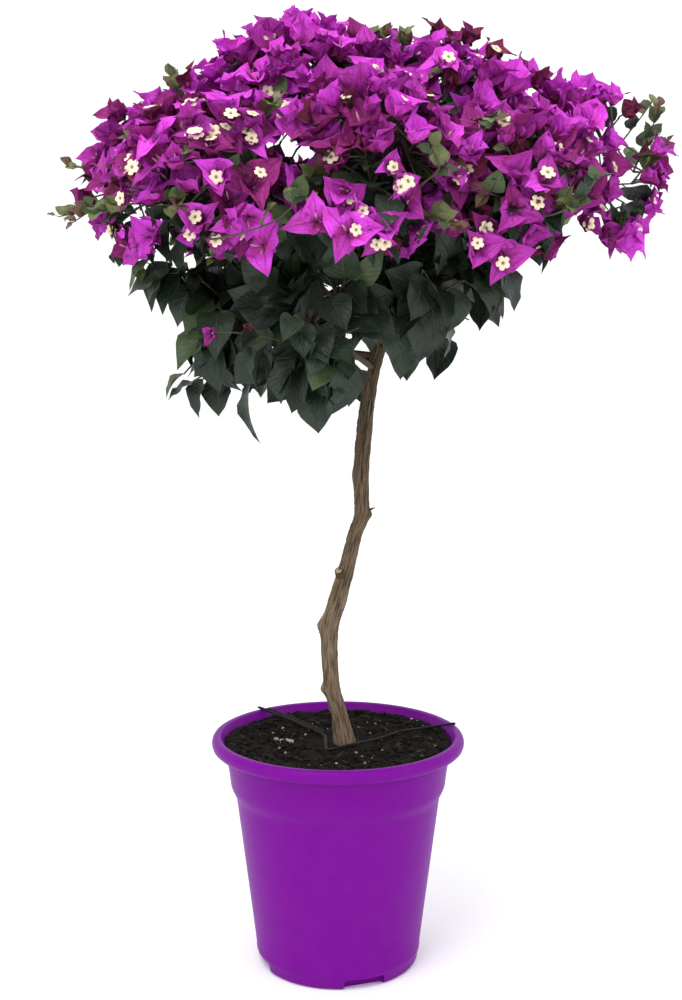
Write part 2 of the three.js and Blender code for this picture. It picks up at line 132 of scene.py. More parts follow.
# shared shader groups
def newGroup(name, inputs, outputs):
    group = bpy.data.node_groups.new(name, "ShaderNodeTree")
    for label, kind, value in inputs:
        socket = group.interface.new_socket(name=label, in_out="INPUT", socket_type=kind)
        if value is not None:
            socket.default_value = value
    for label, kind in outputs:
        group.interface.new_socket(name=label, in_out="OUTPUT", socket_type=kind)
    return group, group.nodes.new("NodeGroupInput"), group.nodes.new("NodeGroupOutput")


def setSocket(tree, socket, value):  # a link from another node, a colour or a number
    if isinstance(value, bpy.types.NodeSocket):
        tree.links.new(value, socket)
    elif isinstance(value, tuple):
        socket.default_value = (*value[:3], 1)
    else:
        socket.default_value = value


def mixColors(tree, first, second, factor, mode="MIX"):
    mix = tree.nodes.new("ShaderNodeMix")
    mix.data_type = "RGBA"
    mix.blend_type = mode
    for label, value in (("Factor", factor), ("A", first), ("B", second)):
        setSocket(tree, mix.inputs[label], value)
    return mix.outputs["Result"]


def mathNode(tree, operation, first, second=None, clamp=False):
    node = tree.nodes.new("ShaderNodeMath")
    node.operation = operation
    node.use_clamp = clamp
    setSocket(tree, node.inputs[0], first)
    if second is not None:
        setSocket(tree, node.inputs[1], second)
    return node.outputs[0]


def rangeNode(tree, value, low, high, top=1.0, bottom=0.0):  # low becomes bottom and high becomes top
    node = tree.nodes.new("ShaderNodeMapRange")
    given = {"Value": value, "From Min": low, "From Max": high, "To Min": bottom, "To Max": top}
    for label, number in given.items():
        setSocket(tree, node.inputs[label], number)
    return node.outputs["Result"]


def noiseNode(tree, vector, scale, detail=3.0, roughness=0.55, distortion=0.0):
    node = tree.nodes.new("ShaderNodeTexNoise")
    given = {
        "Vector": vector, "Scale": scale, "Detail": detail, "Roughness": roughness, "Distortion": distortion,
    }
    for label, value in given.items():
        setSocket(tree, node.inputs[label], value)
    return node.outputs["Fac"]


def splitVector(tree, vector):
    split = tree.nodes.new("ShaderNodeSeparateXYZ")
    tree.links.new(vector, split.inputs["Vector"])
    return split.outputs


def mapParts(tree):  # a piece's own map, X across and Y along
    uvMap = tree.nodes.new("ShaderNodeUVMap")
    uvMap.uv_map = "UVMap"
    return splitVector(tree, uvMap.outputs["UV"])


def makeMottleGroup():  # one colour spotted with another
    group, start, end = newGroup(
        "mottle",
        [("Vector", "NodeSocketVector", None), ("Scale", "NodeSocketFloat", 40.0),
         ("Base", "NodeSocketColor", (0.5, 0.5, 0.5, 1)), ("Spot", "NodeSocketColor", (0.2, 0.2, 0.2, 1)),
         ("Amount", "NodeSocketFloat", 0.5)],
        [("Color", "NodeSocketColor")],
    )
    given = start.outputs
    spots = rangeNode(group, noiseNode(group, given["Vector"], given["Scale"], 4.0, 0.6), 0.36, 0.68)
    share = mathNode(group, "MULTIPLY", spots, given["Amount"], True)
    group.links.new(mixColors(group, given["Base"], given["Spot"], share), end.inputs["Color"])
    return group


def makeVeinGroup():  # a midrib and side veins drawn on a blade's own map: U runs across, V from root to tip
    group, start, end = newGroup(
        "veins",
        [("Across", "NodeSocketFloat", 0.0), ("Along", "NodeSocketFloat", 0.0),
         ("Count", "NodeSocketFloat", 9.0), ("Slant", "NodeSocketFloat", 3.0)],
        [("Midrib", "NodeSocketFloat"), ("Side", "NodeSocketFloat")],
    )
    given = start.outputs
    off = mathNode(group, "ABSOLUTE", mathNode(group, "SUBTRACT", given["Across"], 0.5))
    steps = mathNode(group, "MULTIPLY", given["Along"], given["Count"])
    slanted = mathNode(group, "SUBTRACT", steps, mathNode(group, "MULTIPLY", off, given["Slant"]))
    crest = mathNode(group, "SUBTRACT", mathNode(group, "FRACT", slanted), 0.5)
    group.links.new(rangeNode(group, off, 0.035, 0.0), end.inputs["Midrib"])
    group.links.new(rangeNode(group, mathNode(group, "ABSOLUTE", crest), 0.12, 0.0), end.inputs["Side"])
    return group


def newMaterial(name, roughness, specular):
    material = bpy.data.materials.new(name)
    material.use_nodes = True
    tree = material.node_tree
    shader = tree.nodes["Principled BSDF"]
    shader.inputs["Roughness"].default_value = roughness
    shader.inputs["Specular IOR Level"].default_value = specular
    return material, tree, shader


def objectVector(tree, scale=(1, 1, 1)):
    coordinates = tree.nodes.new("ShaderNodeTexCoord")
    mapping = tree.nodes.new("ShaderNodeMapping")
    mapping.inputs["Scale"].default_value = scale
    tree.links.new(coordinates.outputs["Object"], mapping.inputs["Vector"])
    return mapping.outputs["Vector"]


def placeGroup(tree, group, **values):
    node = tree.nodes.new("ShaderNodeGroup")
    node.node_tree = group
    for label, value in values.items():
        setSocket(tree, node.inputs[label], value)
    return node.outputs


def mottled(tree, vector, scale, base, spot, amount):
    return placeGroup(tree, mottle, Vector=vector, Scale=scale, Base=base, Spot=spot, Amount=amount)["Color"]


def addBump(tree, shader, height, strength, distance):
    bump = tree.nodes.new("ShaderNodeBump")
    bump.inputs["Strength"].default_value = strength
    bump.inputs["Distance"].default_value = distance
    tree.links.new(height, bump.inputs["Height"])
    tree.links.new(bump.outputs["Normal"], shader.inputs["Normal"])


def plainMaterial(name, base, spot, scale, roughness, specular=0.4, amount=0.7):
    material, tree, shader = newMaterial(name, roughness, specular)
    tree.links.new(mottled(tree, objectVector(tree), scale, base, spot, amount), shader.inputs["Base Color"])
    return material


mottle = makeMottleGroup()
veins = makeVeinGroup()


# pot
pot = {
    "height": 203, "rim": 110.5, "rimInner": 102, "rimDepth": 12, "collarTop": 98.5, "collarFoot": 94,
    "collarFootZ": 159, "bodyTop": 89.5, "bodyTopZ": 150, "foot": 71, "footRound": 4, "wall": 2.6,
    "floorZ": 11, "steps": 144, "notches": 4, "notchAngle": -71, "notchWidth": 36, "notchHeight": 9,
    "notchDepth": 9, "notchRound": 2.2, "sharpAngle": 38, "color": (0.158, 0.0012, 0.242),
    "deepColor": (0.14, 0.001, 0.216), "dustColor": (0.26, 0.05, 0.34),
}


def bodyRadius(z):
    share = (z - pot["footRound"]) / (pot["bodyTopZ"] - pot["footRound"])
    return blendValue(pot["foot"], pot["bodyTop"], share)


def potProfile():  # radius and height, from the middle of the foot over the rim to the middle of the floor
    foot, bend, body, wall = pot["foot"], pot["footRound"], pot["bodyTop"], pot["wall"]
    low, high, rim, inner = pot["collarFoot"], pot["collarTop"], pot["rim"], pot["rimInner"]
    top = pot["height"]
    lip = top - pot["rimDepth"]
    line = [(0, 0), (foot - 5, 0)]
    for i in range(1, 7):
        turn = math.radians(90 * i / 6)
        line.append((foot - bend + bend * math.sin(turn) - 0.2, bend - bend * math.cos(turn)))
    line += [(bodyRadius(10) + 0.0, 10), (bodyRadius(11.2) + 0.5, 11)]  # a fine bead above the foot
    line += [(bodyRadius(13) + 0.5, 13), (bodyRadius(14) + 0.1, 14)]
    line += [(bodyRadius(z), z) for z in (40, 70, 100, 130, 144)]
    line += [(body - 0.1, 149), (body + 0.4, 150.6), (body + 2.2, 154)]  # the step under the collar
    line += [(low - 0.7, 157.4), (low, 159.4), (low + 0.4, 162), (low + 1.6, 172)]
    line += [(high - 0.8, 184), (high + 0.1, lip - 1.4), (high + 1.4, lip - 0.3)]
    line += [(rim - 5, lip), (rim - 2.6, lip + 0.7), (rim - 1, lip + 2.2), (rim - 0.2, lip + 4.4)]
    line += [(rim, lip + 6.6), (rim - 0.5, lip + 9), (rim - 1.7, lip + 10.9), (rim - 3.6, lip + 11.9)]
    line += [(inner + 2.4, top), (inner + 0.7, top - 0.6), (inner, top - 2)]
    line += [(high - wall + 1, top - 12), (high - wall - 0.2, top - 16)]  # and down the inside
    line += [(low - wall, pot["collarFootZ"]), (body - wall, pot["bodyTopZ"])]
    line += [(bodyRadius(pot["floorZ"]) - wall, pot["floorZ"]), (0, pot["floorZ"])]
    return line


def makePot():
    build = bmesh.new()
    corners = [build.verts.new((r * mm, 0, z * mm)) for r, z in potProfile()]
    edges = [build.edges.new(pair) for pair in zip(corners, corners[1:])]
    bmesh.ops.spin(build, geom=corners + edges, cent=(0, 0, 0), axis=(0, 0, 1), angle=math.tau,
                   steps=pot["steps"], use_merge=True)
    bmesh.ops.remove_doubles(build, verts=build.verts, dist=1e-6)
    bmesh.ops.recalc_face_normals(build, faces=build.faces)
    piece = meshObject("potShell", build)
    cutters = bmesh.new()
    for i in range(pot["notches"]):
        turn = Matrix.Rotation(math.radians(pot["notchAngle"] + 90 * i), 4, "Z")
        deep, wide, high = pot["notchDepth"] * 2 * mm, pot["notchWidth"] * mm, pot["notchHeight"] * 2 * mm
        place = turn @ Matrix.Translation((pot["foot"] * mm, 0, 0)) @ Matrix.Diagonal((deep, wide, high, 1))
        block = bmesh.ops.create_cube(cutters, size=1, matrix=place)
        sides = list({edge for vert in block["verts"] for edge in vert.link_edges})
        bmesh.ops.bevel(cutters, geom=sides, offset=pot["notchRound"] * mm, segments=3, profile=0.5,
                        affect="EDGES", material=-1)
    cutter = meshObject("notchCutter", cutters)
    cut = piece.modifiers.new("notches", "BOOLEAN")
    cut.object = cutter
    cut.operation = "DIFFERENCE"
    cut.solver = "EXACT"
    bpy.context.view_layer.update()
    cleaned = bpy.data.meshes.new_from_object(piece.evaluated_get(bpy.context.evaluated_depsgraph_get()))
    piece.modifiers.clear()
    piece.data = cleaned
    bpy.data.objects.remove(cutter)
    for polygon in piece.data.polygons:
        polygon.use_smooth = True
    piece.data.set_sharp_from_angle(angle=math.radians(pot["sharpAngle"]))
    piece.data.materials.clear()
    piece.data.materials.append(potPlastic())
    finishPiece(piece, "pot_plastic", "pot")
    print("pot made:", len(piece.data.polygons), "faces")


def potPlastic():
    material, tree, shader = newMaterial("potPlastic", 0.42, 0.07)
    place = objectVector(tree)
    tone = mottled(tree, place, 7.0, pot["color"], pot["deepColor"], 0.22)
    tree.links.new(mottled(tree, place, 60.0, tone, pot["dustColor"], 0.05), shader.inputs["Base Color"])
    scuffs = noiseNode(tree, objectVector(tree, (1, 1, 6)), 90.0, 5.0, 0.7)
    tree.links.new(rangeNode(tree, scuffs, 0.0, 1.0, 0.5, 0.32), shader.inputs["Roughness"])
    addBump(tree, shader, noiseNode(tree, place, 700.0, 2.0), 0.06, 0.0006)
    return material


# soil
soil = {
    "radius": 98.6, "top": 194.5, "depth": 8, "grid": 170, "lump": 1.4, "bank": 2.2, "trunkAt": (6, -5),
    "crumbs": 720, "pale": 62, "chips": 90, "heapCount": 9, "paleHeap": (-48, 2, 9), "seed": 77,
    "grainSizes": ((1.0, 3.4), (0.6, 1.7), (0.9, 2.2), (1.5, 3.2)),  # crumb, pale grain, chip, heaped grain
}


def soilHeight(x, y):
    away = math.hypot(x - soil["trunkAt"][0], y - soil["trunkAt"][1])
    fade = smoothStep(away, 9, 34)
    lump = math.sin(x * 0.11 + 1.3) * math.cos(y * 0.13) + 0.5 * math.sin(y * 0.23 - x * 0.07)
    fine = noise.fractal(Vector((x * 0.16, y * 0.16, 3.1)), 0.9, 2.1, 5)
    clod = noise.fractal(Vector((x * 0.055, y * 0.055, 8.3)), 1.0, 2.0, 2)
    bank = soil["bank"] * smoothStep(math.hypot(x, y), 60, 92)  # pressed up against the wall
    rough = (soil["lump"] * lump * 0.8 + clod * 1.8) * fade
    return soil["top"] + bank + rough + fine * 1.5 * (0.3 + 0.7 * fade)


def makeSoil():
    build = bmesh.new()
    bmesh.ops.create_grid(build, x_segments=soil["grid"], y_segments=soil["grid"], size=1)
    for vert in build.verts:  # square grid drawn into a disc
        u, v = vert.co.x, vert.co.y
        x = u * math.sqrt(max(0, 1 - v * v / 2)) * soil["radius"]
        y = v * math.sqrt(max(0, 1 - u * u / 2)) * soil["radius"]
        vert.co = Vector((x, y, soilHeight(x, y))) * mm
    rim = [edge for edge in build.edges if edge.is_boundary]
    wall = bmesh.ops.extrude_edge_only(build, edges=rim)["geom"]
    low = [item for item in wall if isinstance(item, bmesh.types.BMVert)]
    for vert in low:
        flat = Vector((vert.co.x, vert.co.y, 0)) * 0.975
        vert.co = Vector((flat.x, flat.y, (soil["top"] - soil["depth"]) * mm))
    bmesh.ops.holes_fill(build, edges=[edge for edge in build.edges if edge.is_boundary], sides=0)
    bmesh.ops.recalc_face_normals(build, faces=build.faces)
    piece = meshObject("soilBed", build)
    piece.data.materials.append(soilDark())
    finishPiece(piece, "soil", "soil")
    print("soil bed made")


def makeCrumbs():
    rng = np.random.default_rng(soil["seed"])
    build = bmesh.new()
    kinds = [0] * soil["crumbs"] + [1] * soil["pale"] + [2] * soil["chips"] + [3] * soil["heapCount"]
    for kind in kinds:
        spot = rng.uniform(0.12, 0.985) ** 0.5 * (soil["radius"] - 4)
        turn = rng.uniform(0, math.tau)
        x, y = spot * math.cos(turn), spot * math.sin(turn)
        if kind == 3:  # a few pale grains that lie together
            heapX, heapY, spread = soil["paleHeap"]
            x, y = heapX + rng.uniform(-spread, spread), heapY + rng.uniform(-spread, spread) * 0.5
        if math.hypot(x - soil["trunkAt"][0], y - soil["trunkAt"][1]) < 13:
            continue
        size = rng.uniform(*soil["grainSizes"][kind])
        if kind == 2:  # a long chip
            shape = (rng.uniform(2.5, 5), 0.8, 0.5)
        else:
            shape = (1, rng.uniform(0.6, 1), rng.uniform(0.5, 0.9))
        place = Matrix.Translation(Vector((x, y, soilHeight(x, y) + size * 0.25)) * mm)
        turned = Matrix.Rotation(rng.uniform(0, math.tau), 4, "Z")
        turned = turned @ Matrix.Rotation(rng.uniform(-0.5, 0.5), 4, "X")
        scaled = Matrix.Diagonal((*(Vector(shape) * size * mm), 1))
        made = bmesh.ops.create_icosphere(build, subdivisions=1, radius=1, matrix=place @ turned @ scaled)
        for vert in made["verts"]:
            vert.co += Vector(rng.uniform(-0.22, 0.22, 3)) * size * mm
        for face in {face for vert in made["verts"] for face in vert.link_faces}:
            face.material_index = 1 if kind == 3 else kind
    piece = meshObject("soilCrumbs", build, smooth=False)
    pale = plainMaterial("crumbPale", (0.42, 0.36, 0.34), (0.22, 0.12, 0.15), 300.0, 0.85, 0.3)
    chip = plainMaterial("crumbChip", (0.04, 0.024, 0.016), (0.012, 0.009, 0.007), 260.0, 0.9, 0.15, 0.8)
    for material in (soilDark(), pale, chip):
        piece.data.materials.append(material)
    finishPiece(piece, "soil")
    print("soil crumbs made")


def soilDark():
    material, tree, shader = newMaterial("soilDark", 0.95, 0.12)
    place = objectVector(tree)
    broad = mottled(tree, place, 55.0, (0.0026, 0.0024, 0.0022), (0.012, 0.0105, 0.008), 0.8)
    fine = mottled(tree, place, 420.0, broad, (0.028, 0.022, 0.0165), 0.4)
    tree.links.new(fine, shader.inputs["Base Color"])
    addBump(tree, shader, noiseNode(tree, place, 500.0, 5.0, 0.7), 0.8, 0.0015)
    return material


# strap across the soil
strap = {
    "path": [(-74.5, 79.5, 204.4), (-71, 76, 204.2), (-41, 48, 200.6), (-12, 13, 197.2), (-9, -29, 196.8),
             (37, 3, 197.4), (55, 17, 199.4), (100, 24, 204.2), (105, 25, 204.4)],
    "width": 3.2, "thick": 1.8, "steps": 90, "ease": 0.12, "doubled": (3, 30), "apart": (3.2, 3.0, 0.1),
}


def stripRadius(share, turn, point):  # a flat strip with softened corners
    wide, high = abs(math.cos(turn)) / strap["width"] * 2, abs(math.sin(turn)) / strap["thick"] * 2
    return (wide ** 6 + high ** 6) ** (-1 / 6)


def makeStrap():
    line = roundedPath([Vector(p) for p in strap["path"]], strap["steps"], strap["ease"])
    first, last = strap["doubled"]  # the stretch where the strip lies double
    doubled = [point + Vector(strap["apart"]) for point in line[first:last]]
    whole = bmesh.new()
    for path in (line, doubled):
        mergeInto(whole, barkTube(path, stripRadius, 8))
    piece = meshObject("strapStrip", whole)
    piece.data.set_sharp_from_angle(angle=math.radians(40))
    black = plainMaterial("strapPlastic", (0.006, 0.006, 0.007), (0.02, 0.019, 0.018), 90.0, 0.6, 0.1, 0.6)
    piece.data.materials.append(black)
    finishPiece(piece, "strap_plastic", "strap")
    print("strap made")


# curves for limbs
def roundedPath(points, count, ease=0.5):  # evenly stepped curve through the points
    ends = [points[0] * 2 - points[1]] + list(points) + [points[-1] * 2 - points[-2]]
    dense = []
    for i in range(1, len(ends) - 2):
        p0, p1, p2, p3 = ends[i - 1], ends[i], ends[i + 1], ends[i + 2]
        m1, m2 = (p2 - p0) * ease, (p3 - p1) * ease
        for k in range(16):
            t = k / 16
            t2, t3 = t * t, t * t * t
            dense.append(p1 * (2 * t3 - 3 * t2 + 1) + m1 * (t3 - 2 * t2 + t)
                         + p2 * (3 * t2 - 2 * t3) + m2 * (t3 - t2))
    dense.append(points[-1].copy())
    lengths = np.concatenate([[0], np.cumsum([(b - a).length for a, b in zip(dense, dense[1:])])])
    flat = np.array([tuple(p) for p in dense])
    wanted = np.linspace(0, lengths[-1], count)
    return [Vector([float(np.interp(w, lengths, flat[:, axis])) for axis in range(3)]) for w in wanted]


def sideFrames(path):  # a steady sideways and forward direction at each point of a curve
    ahead = (path[1] - path[0]).normalized()
    side = Vector((1, 0, 0)) if abs(ahead.x) < 0.8 else Vector((0, 1, 0))
    frames = []
    for i in range(len(path)):
        ahead = (path[min(i + 1, len(path) - 1)] - path[max(i - 1, 0)]).normalized()
        side = (side - ahead * side.dot(ahead)).normalized()
        frames.append((side, ahead.cross(side)))
    return frames


def barkTube(path, radiusAt, sides):  # a grid wrapped round a curve, closed at both ends
    rings = len(path) - 1
    frames = sideFrames(path)
    build = bmesh.new()
    build.loops.layers.uv.new("UVMap")
    bmesh.ops.create_grid(build, x_segments=sides, y_segments=rings, size=0.5, calc_uvs=True)
    for vert in build.verts:
        ring = min(rings, max(0, round((vert.co.y + 0.5) * rings)))
        turn = (vert.co.x + 0.5) * math.tau
        side, front = frames[ring]
        reach = radiusAt(ring / rings, turn, path[ring])
        vert.co = (path[ring] + (side * math.cos(turn) + front * math.sin(turn)) * reach) * mm
    bmesh.ops.remove_doubles(build, verts=build.verts, dist=1e-6)
    bmesh.ops.holes_fill(build, edges=[edge for edge in build.edges if edge.is_boundary], sides=0)
    bmesh.ops.recalc_face_normals(build, faces=build.faces)
    return build


# trunk
trunk = {
    "path": [(6, -5, 194.8), (1, -5, 222), (-5, -4, 246), (-7, -3, 276), (-6.5, -1, 299), (-1, 1, 321),
             (7, 2, 349), (14, 4, 377), (20, 5, 397), (20, 6, 430), (23, 7, 468), (26, 8, 496), (31, 9, 522),
             (38, 10, 550), (42, 10, 570)],
    "foot": 7.4, "tip": 5.8, "flare": 1.6, "flareHeight": 24, "sides": 64, "rings": 420,
    "knots": [(245, 188, 3.6, 4.5, 0.55), (299, 180, 4.2, 6.5, 0.6), (346, 222, 2.2, 5.0, 0.6),
              (397, -14, 3.4, 4.5, 0.5), (322, 20, 1.2, 8, 0.8), (430, 170, 1.0, 6, 0.7),
              (470, -60, 1.1, 6, 0.6), (505, 150, 1.4, 7, 0.6)],  # height, angle, reach, spread, width
    "thorn": (397, -14, 9, 2.0), "scar": (340, 238, 3.6),
    "ridge": 0.8, "fine": 0.28, "length": 392, "sharpAngle": 52,
    "bark": ((0.16, 0.112, 0.072), (0.038, 0.026, 0.018), (0.305, 0.228, 0.155)),  # base, grooves, ridges
    "cut": ((0.5, 0.42, 0.32), (0.3, 0.22, 0.15)),
}


def barkRidge(turn, along, coarse, fine):  # long fissures that run up the limb and wander a little
    drift = 0.5 * math.sin(along * 0.021) + 0.3 * math.sin(along * 0.057 + 2)
    spot = Vector((math.cos(turn + drift) * 2.2, math.sin(turn + drift) * 2.2, along * 0.03))
    long = noise.ridged_multi_fractal(spot, 0.9, 2.2, 4, 1.0, 2.0)
    small = noise.fractal(Vector((math.cos(turn) * 6, math.sin(turn) * 6, along * 0.22)), 0.8, 2.0, 3)
    return (long - 1.2) * coarse + small * fine


def trunkRadius(share, turn, point):
    z = point.z
    radius = blendValue(trunk["foot"], trunk["tip"], share)
    length = share * trunk["length"]
    radius += trunk["flare"] * max(0, 1 - length / trunk["flareHeight"]) * (1 + 0.35 * math.sin(turn * 3))
    radius += 0.55 * math.sin(turn * 2 + z * 0.045) + 0.4 * math.sin(turn * 3 - z * 0.03)
    for height, angle, reach, spread, width in trunk["knots"]:
        away = (turn - math.radians(angle) + math.pi) % math.tau - math.pi
        radius += reach * math.exp(-((z - height) / spread) ** 2 - (away / width) ** 2)
    return radius + barkRidge(turn, z, trunk["ridge"], trunk["fine"])


def standingOn(path, height, angle, rise, reach):  # the way a spike or stub points, and its place
    spot = min(path, key=lambda p: abs(p.z - height))
    aim = Vector((math.cos(math.radians(angle)), math.sin(math.radians(angle)), rise)).normalized()
    turned = aim.to_track_quat("Z", "Y").to_matrix().to_4x4()
    return aim, Matrix.Translation((spot + aim * reach) * mm) @ turned


def makeTrunk():
    path = roundedPath([Vector(p) for p in trunk["path"]], trunk["rings"] + 1)
    build = barkTube(path, trunkRadius, trunk["sides"])
    height, angle, length, width = trunk["thorn"]
    _, place = standingOn(path, height, angle, 0.42, 9)
    bmesh.ops.create_cone(build, cap_ends=True, segments=10, radius1=width * mm, radius2=0.25 * mm,
                          depth=length * mm, matrix=place)
    bottom = len(build.faces)
    height, angle, width = trunk["scar"]  # the pale round where an old leader was cut off
    aim, place = standingOn(path, height, angle, 1.1, 8.6)
    bmesh.ops.create_cone(build, cap_ends=True, segments=18, radius1=(width + 1.4) * mm, radius2=width * mm,
                          depth=6 * mm, matrix=place)
    build.normal_update()
    build.faces.ensure_lookup_table()
    top = max(build.faces[bottom:], key=lambda face: face.normal.dot(aim) * face.calc_area())
    bmesh.ops.inset_region(build, faces=[top], thickness=0.7 * mm, depth=-0.5 * mm)
    top.material_index = 1
    piece = meshObject("trunkBark", build)
    piece.data.set_sharp_from_angle(angle=math.radians(trunk["sharpAngle"]))
    piece.data.materials.append(barkMaterial("barkTrunk", *trunk["bark"], 3.4, 0.5))
    piece.data.materials.append(plainMaterial("cutWood", *trunk["cut"], 260.0, 0.85, 0.2))
    finishPiece(piece, "bark", "trunk")
    print("trunk made:", len(piece.data.polygons), "faces")


def barkVector(tree, along):  # the limb's own map rolled up, so that the grain follows its bends
    parts = mapParts(tree)
    turn = mathNode(tree, "MULTIPLY", parts["X"], math.tau)
    join = tree.nodes.new("ShaderNodeCombineXYZ")
    tree.links.new(mathNode(tree, "COSINE", turn), join.inputs["X"])
    tree.links.new(mathNode(tree, "SINE", turn), join.inputs["Y"])
    tree.links.new(mathNode(tree, "MULTIPLY", parts["Y"], along), join.inputs["Z"])
    return join.outputs["Vector"]


def barkMaterial(name, base, dark, pale, along, paintedShadeUp):
    material, tree, shader = newMaterial(name, 0.9, 0.2)
    long = noiseNode(tree, barkVector(tree, along), 6.5, 7.0, 0.6, 0.25)
    tone = mottled(tree, barkVector(tree, along * 2.5), 2.2, base, pale, 0.8)
    grooved = mixColors(tree, dark, tone, rangeNode(tree, long, 0.42, 0.53))
    tan = mottled(tree, objectVector(tree), 24.0, grooved, (0.2, 0.13, 0.075), 0.35)
    # painted shade: the bark turns greyer and darker up the limb, towards the crown
    height = rangeNode(tree, splitVector(tree, objectVector(tree))["Z"], 0.24, 0.46, paintedShadeUp)
    shaded = mixColors(tree, tan, (0.2, 0.19, 0.17), height, "MULTIPLY")  # greyer and darker up the limb
    tree.links.new(shaded, shader.inputs["Base Color"])
    addBump(tree, shader, long, 0.8, 0.002)
    return material


# the crown's own rule, the same as the solids' and carried further
crown = {
    "bloom_top": ("bloom", (-34, 2, 744), (88, 92, 74)),
    "bloom_top_right": ("bloom", (84, -8, 738), (84, 90, 70)),
    "bloom_left": ("bloom", (-142, -6, 680), (80, 96, 70)),
    "bloom_right": ("bloom", (200, 0, 690), (81, 98, 72)),
    "bloom_front_left": ("bloom", (-92, -122, 668), (84, 82, 66)),
    "bloom_front": ("bloom", (24, -142, 676), (76, 78, 72)),
    "bloom_front_right": ("bloom", (132, -112, 664), (80, 82, 64)),
    "bloom_back_left": ("bloom", (-90, 124, 680), (84, 82, 66)),
    "bloom_back": ("bloom", (26, 144, 688), (78, 76, 70)),
    "bloom_back_right": ("bloom", (138, 116, 674), (82, 82, 64)),
    "leaves_left": ("leaves", (-84, -26, 568), (67, 92, 78)),
    "leaves_front": ("leaves", (-20, -86, 560), (78, 84, 84)),
    "leaves_right": ("leaves", (77, -50, 596), (72, 86, 56)),
    "leaves_back_left": ("leaves", (-48, 88, 572), (88, 84, 78)),
    "leaves_back_right": ("leaves", (84, 82, 588), (80, 86, 66)),
}
hearts = {"bloom": (20, 0, 640), "leaves": (20, 0, 570)}
boughs = {
    "bough_top": ("trunk", 0.99, "bloom_top", 6),
    "bough_left": ("trunk", 0.955, "bloom_left", -10),
    "bough_right": ("trunk", 0.975, "bloom_right", -12),
    "bough_front": ("trunk", 0.93, "bloom_front", -8),
    "bough_back": ("trunk", 0.945, "bloom_back", -8),
    "bough_top_right": ("bough_top", 0.22, "bloom_top_right", 4),
    "bough_front_left": ("bough_left", 0.3, "bloom_front_left", -4),
    "bough_back_left": ("bough_left", 0.42, "bloom_back_left", -4),
    "bough_front_right": ("bough_right", 0.3, "bloom_front_right", -4),
    "bough_back_right": ("bough_right", 0.4, "bloom_back_right", -4),
}
shootStarts = {  # how far up the trunk each mass of leaves starts
    "leaves_left": 0.9, "leaves_front": 0.87, "leaves_right": 0.915, "leaves_back_left": 0.885,
    "leaves_back_right": 0.9,
}
limb = {
    "boughFoot": 4.4, "boughTip": 2.7, "sides": 14, "rings": 60, "stem": 2.2, "twig": 1.15, "twigTip": 0.65,
    "mainShare": 0.4, "bark": ((0.11, 0.085, 0.062), (0.035, 0.026, 0.019), (0.19, 0.155, 0.115)),
}
limbPaths = {}


def seededSource(seed):
    state = [seed & 0xFFFFFFFF]

    def draw():
        state[0] = (state[0] * 1664525 + 1013904223) & 0xFFFFFFFF
        return state[0] / 4294967296
    return draw


def reachOf(name, direction):
    size = crown[name][2]
    return 1 / math.sqrt(sum((direction[k] / size[k]) ** 2 for k in range(3)))


def makeSpace(name):
    middle = Vector(crown[name][1])
    size = crown[name][2]
    walls = []
    for other, mass in crown.items():
        if other == name:
            continue
        away = Vector(mass[1]) - middle
        distance = away.length
        away /= distance
        here, there = reachOf(name, away), reachOf(other, away)
        walls.append((away, distance * here / (here + there)))

    def inside(point, grow=1.0, loose=0.0):
        offset = point - middle
        if sum((offset[k] / size[k]) ** 2 for k in range(3)) > grow * grow:
            return False
        return all(offset.dot(normal) <= limit + loose for normal, limit in walls)
    return inside


def edgeDistance(inside, start, direction):
    low, high = 0.0, 260.0
    for _ in range(18):
        middle = (low + high) / 2
        if inside(start + direction * middle):
            low = middle
        else:
            high = middle
    return low


def spreadDirections(count, draw):
    golden = math.pi * (3 - math.sqrt(5))
    directions = []
    for i in range(count):
        z = 1 - 2 * (i + 0.5) / count
        ring = math.sqrt(1 - z * z)
        turn = i * golden + (draw() - 0.5) * 0.5
        directions.append(Vector((ring * math.cos(turn), ring * math.sin(turn), z)).normalized())
    return directions


def leaning(axis, side, angle):
    return (axis * math.cos(angle) + side * math.sin(angle)).normalized()


def tilted(direction, tilt, turn):
    helper = Vector((1, 0, 0)) if abs(direction.z) > 0.9 else Vector((0, 0, 1))
    side = direction.cross(helper).normalized()
    side.rotate(Matrix.Rotation(turn, 3, direction))
    return leaning(direction, side, tilt)


def strayed(direction, low, high, rng):
    return tilted(direction, rng.uniform(low, high), rng.uniform(0, math.tau))


def pick(rng, options):
    return int(rng.choice(options))


def nearest(points, spot):
    return min(points, key=lambda point: (point - spot).length)


# collectors: joined meshes from arrays, one for each kind of growth
def newCollector():
    return {"points": [], "faces": [], "maps": [], "tones": [], "count": 0}


def addShape(collector, shape, matrix, offset, tone):
    points = shape["points"] @ matrix.T + offset
    collector["points"].append(points)
    collector["faces"].append(shape["faces"] + collector["count"])
    collector["maps"].append(shape["maps"])
    collector["tones"].append(np.full(len(shape["faces"]), tone))
    collector["count"] += len(points)


def addTube(collector, path, radii, sides, tone, closed=True):
    frames = sideFrames(path)
    turns = np.linspace(0, math.tau, sides, endpoint=False)
    rings = []
    for (side, front), point, radius in zip(frames, path, radii):
        circle = np.outer(np.cos(turns), side) + np.outer(np.sin(turns), front)
        rings.append(np.array(point) + circle * radius)
    points = np.concatenate(rings)
    faces = []
    for i in range(len(path) - 1):
        for k in range(sides):
            a, b = i * sides + k, i * sides + (k + 1) % sides
            faces += [(a, b, b + sides), (a, b + sides, a + sides)]
    if closed:
        last = (len(path) - 1) * sides
        for k in range(1, sides - 1):
            faces += [(0, k + 1, k), (last, last + k, last + k + 1)]
    shape = {"points": points, "faces": np.array(faces), "maps": np.zeros((len(points), 2))}
    addShape(collector, shape, np.eye(3), np.zeros(3), tone)


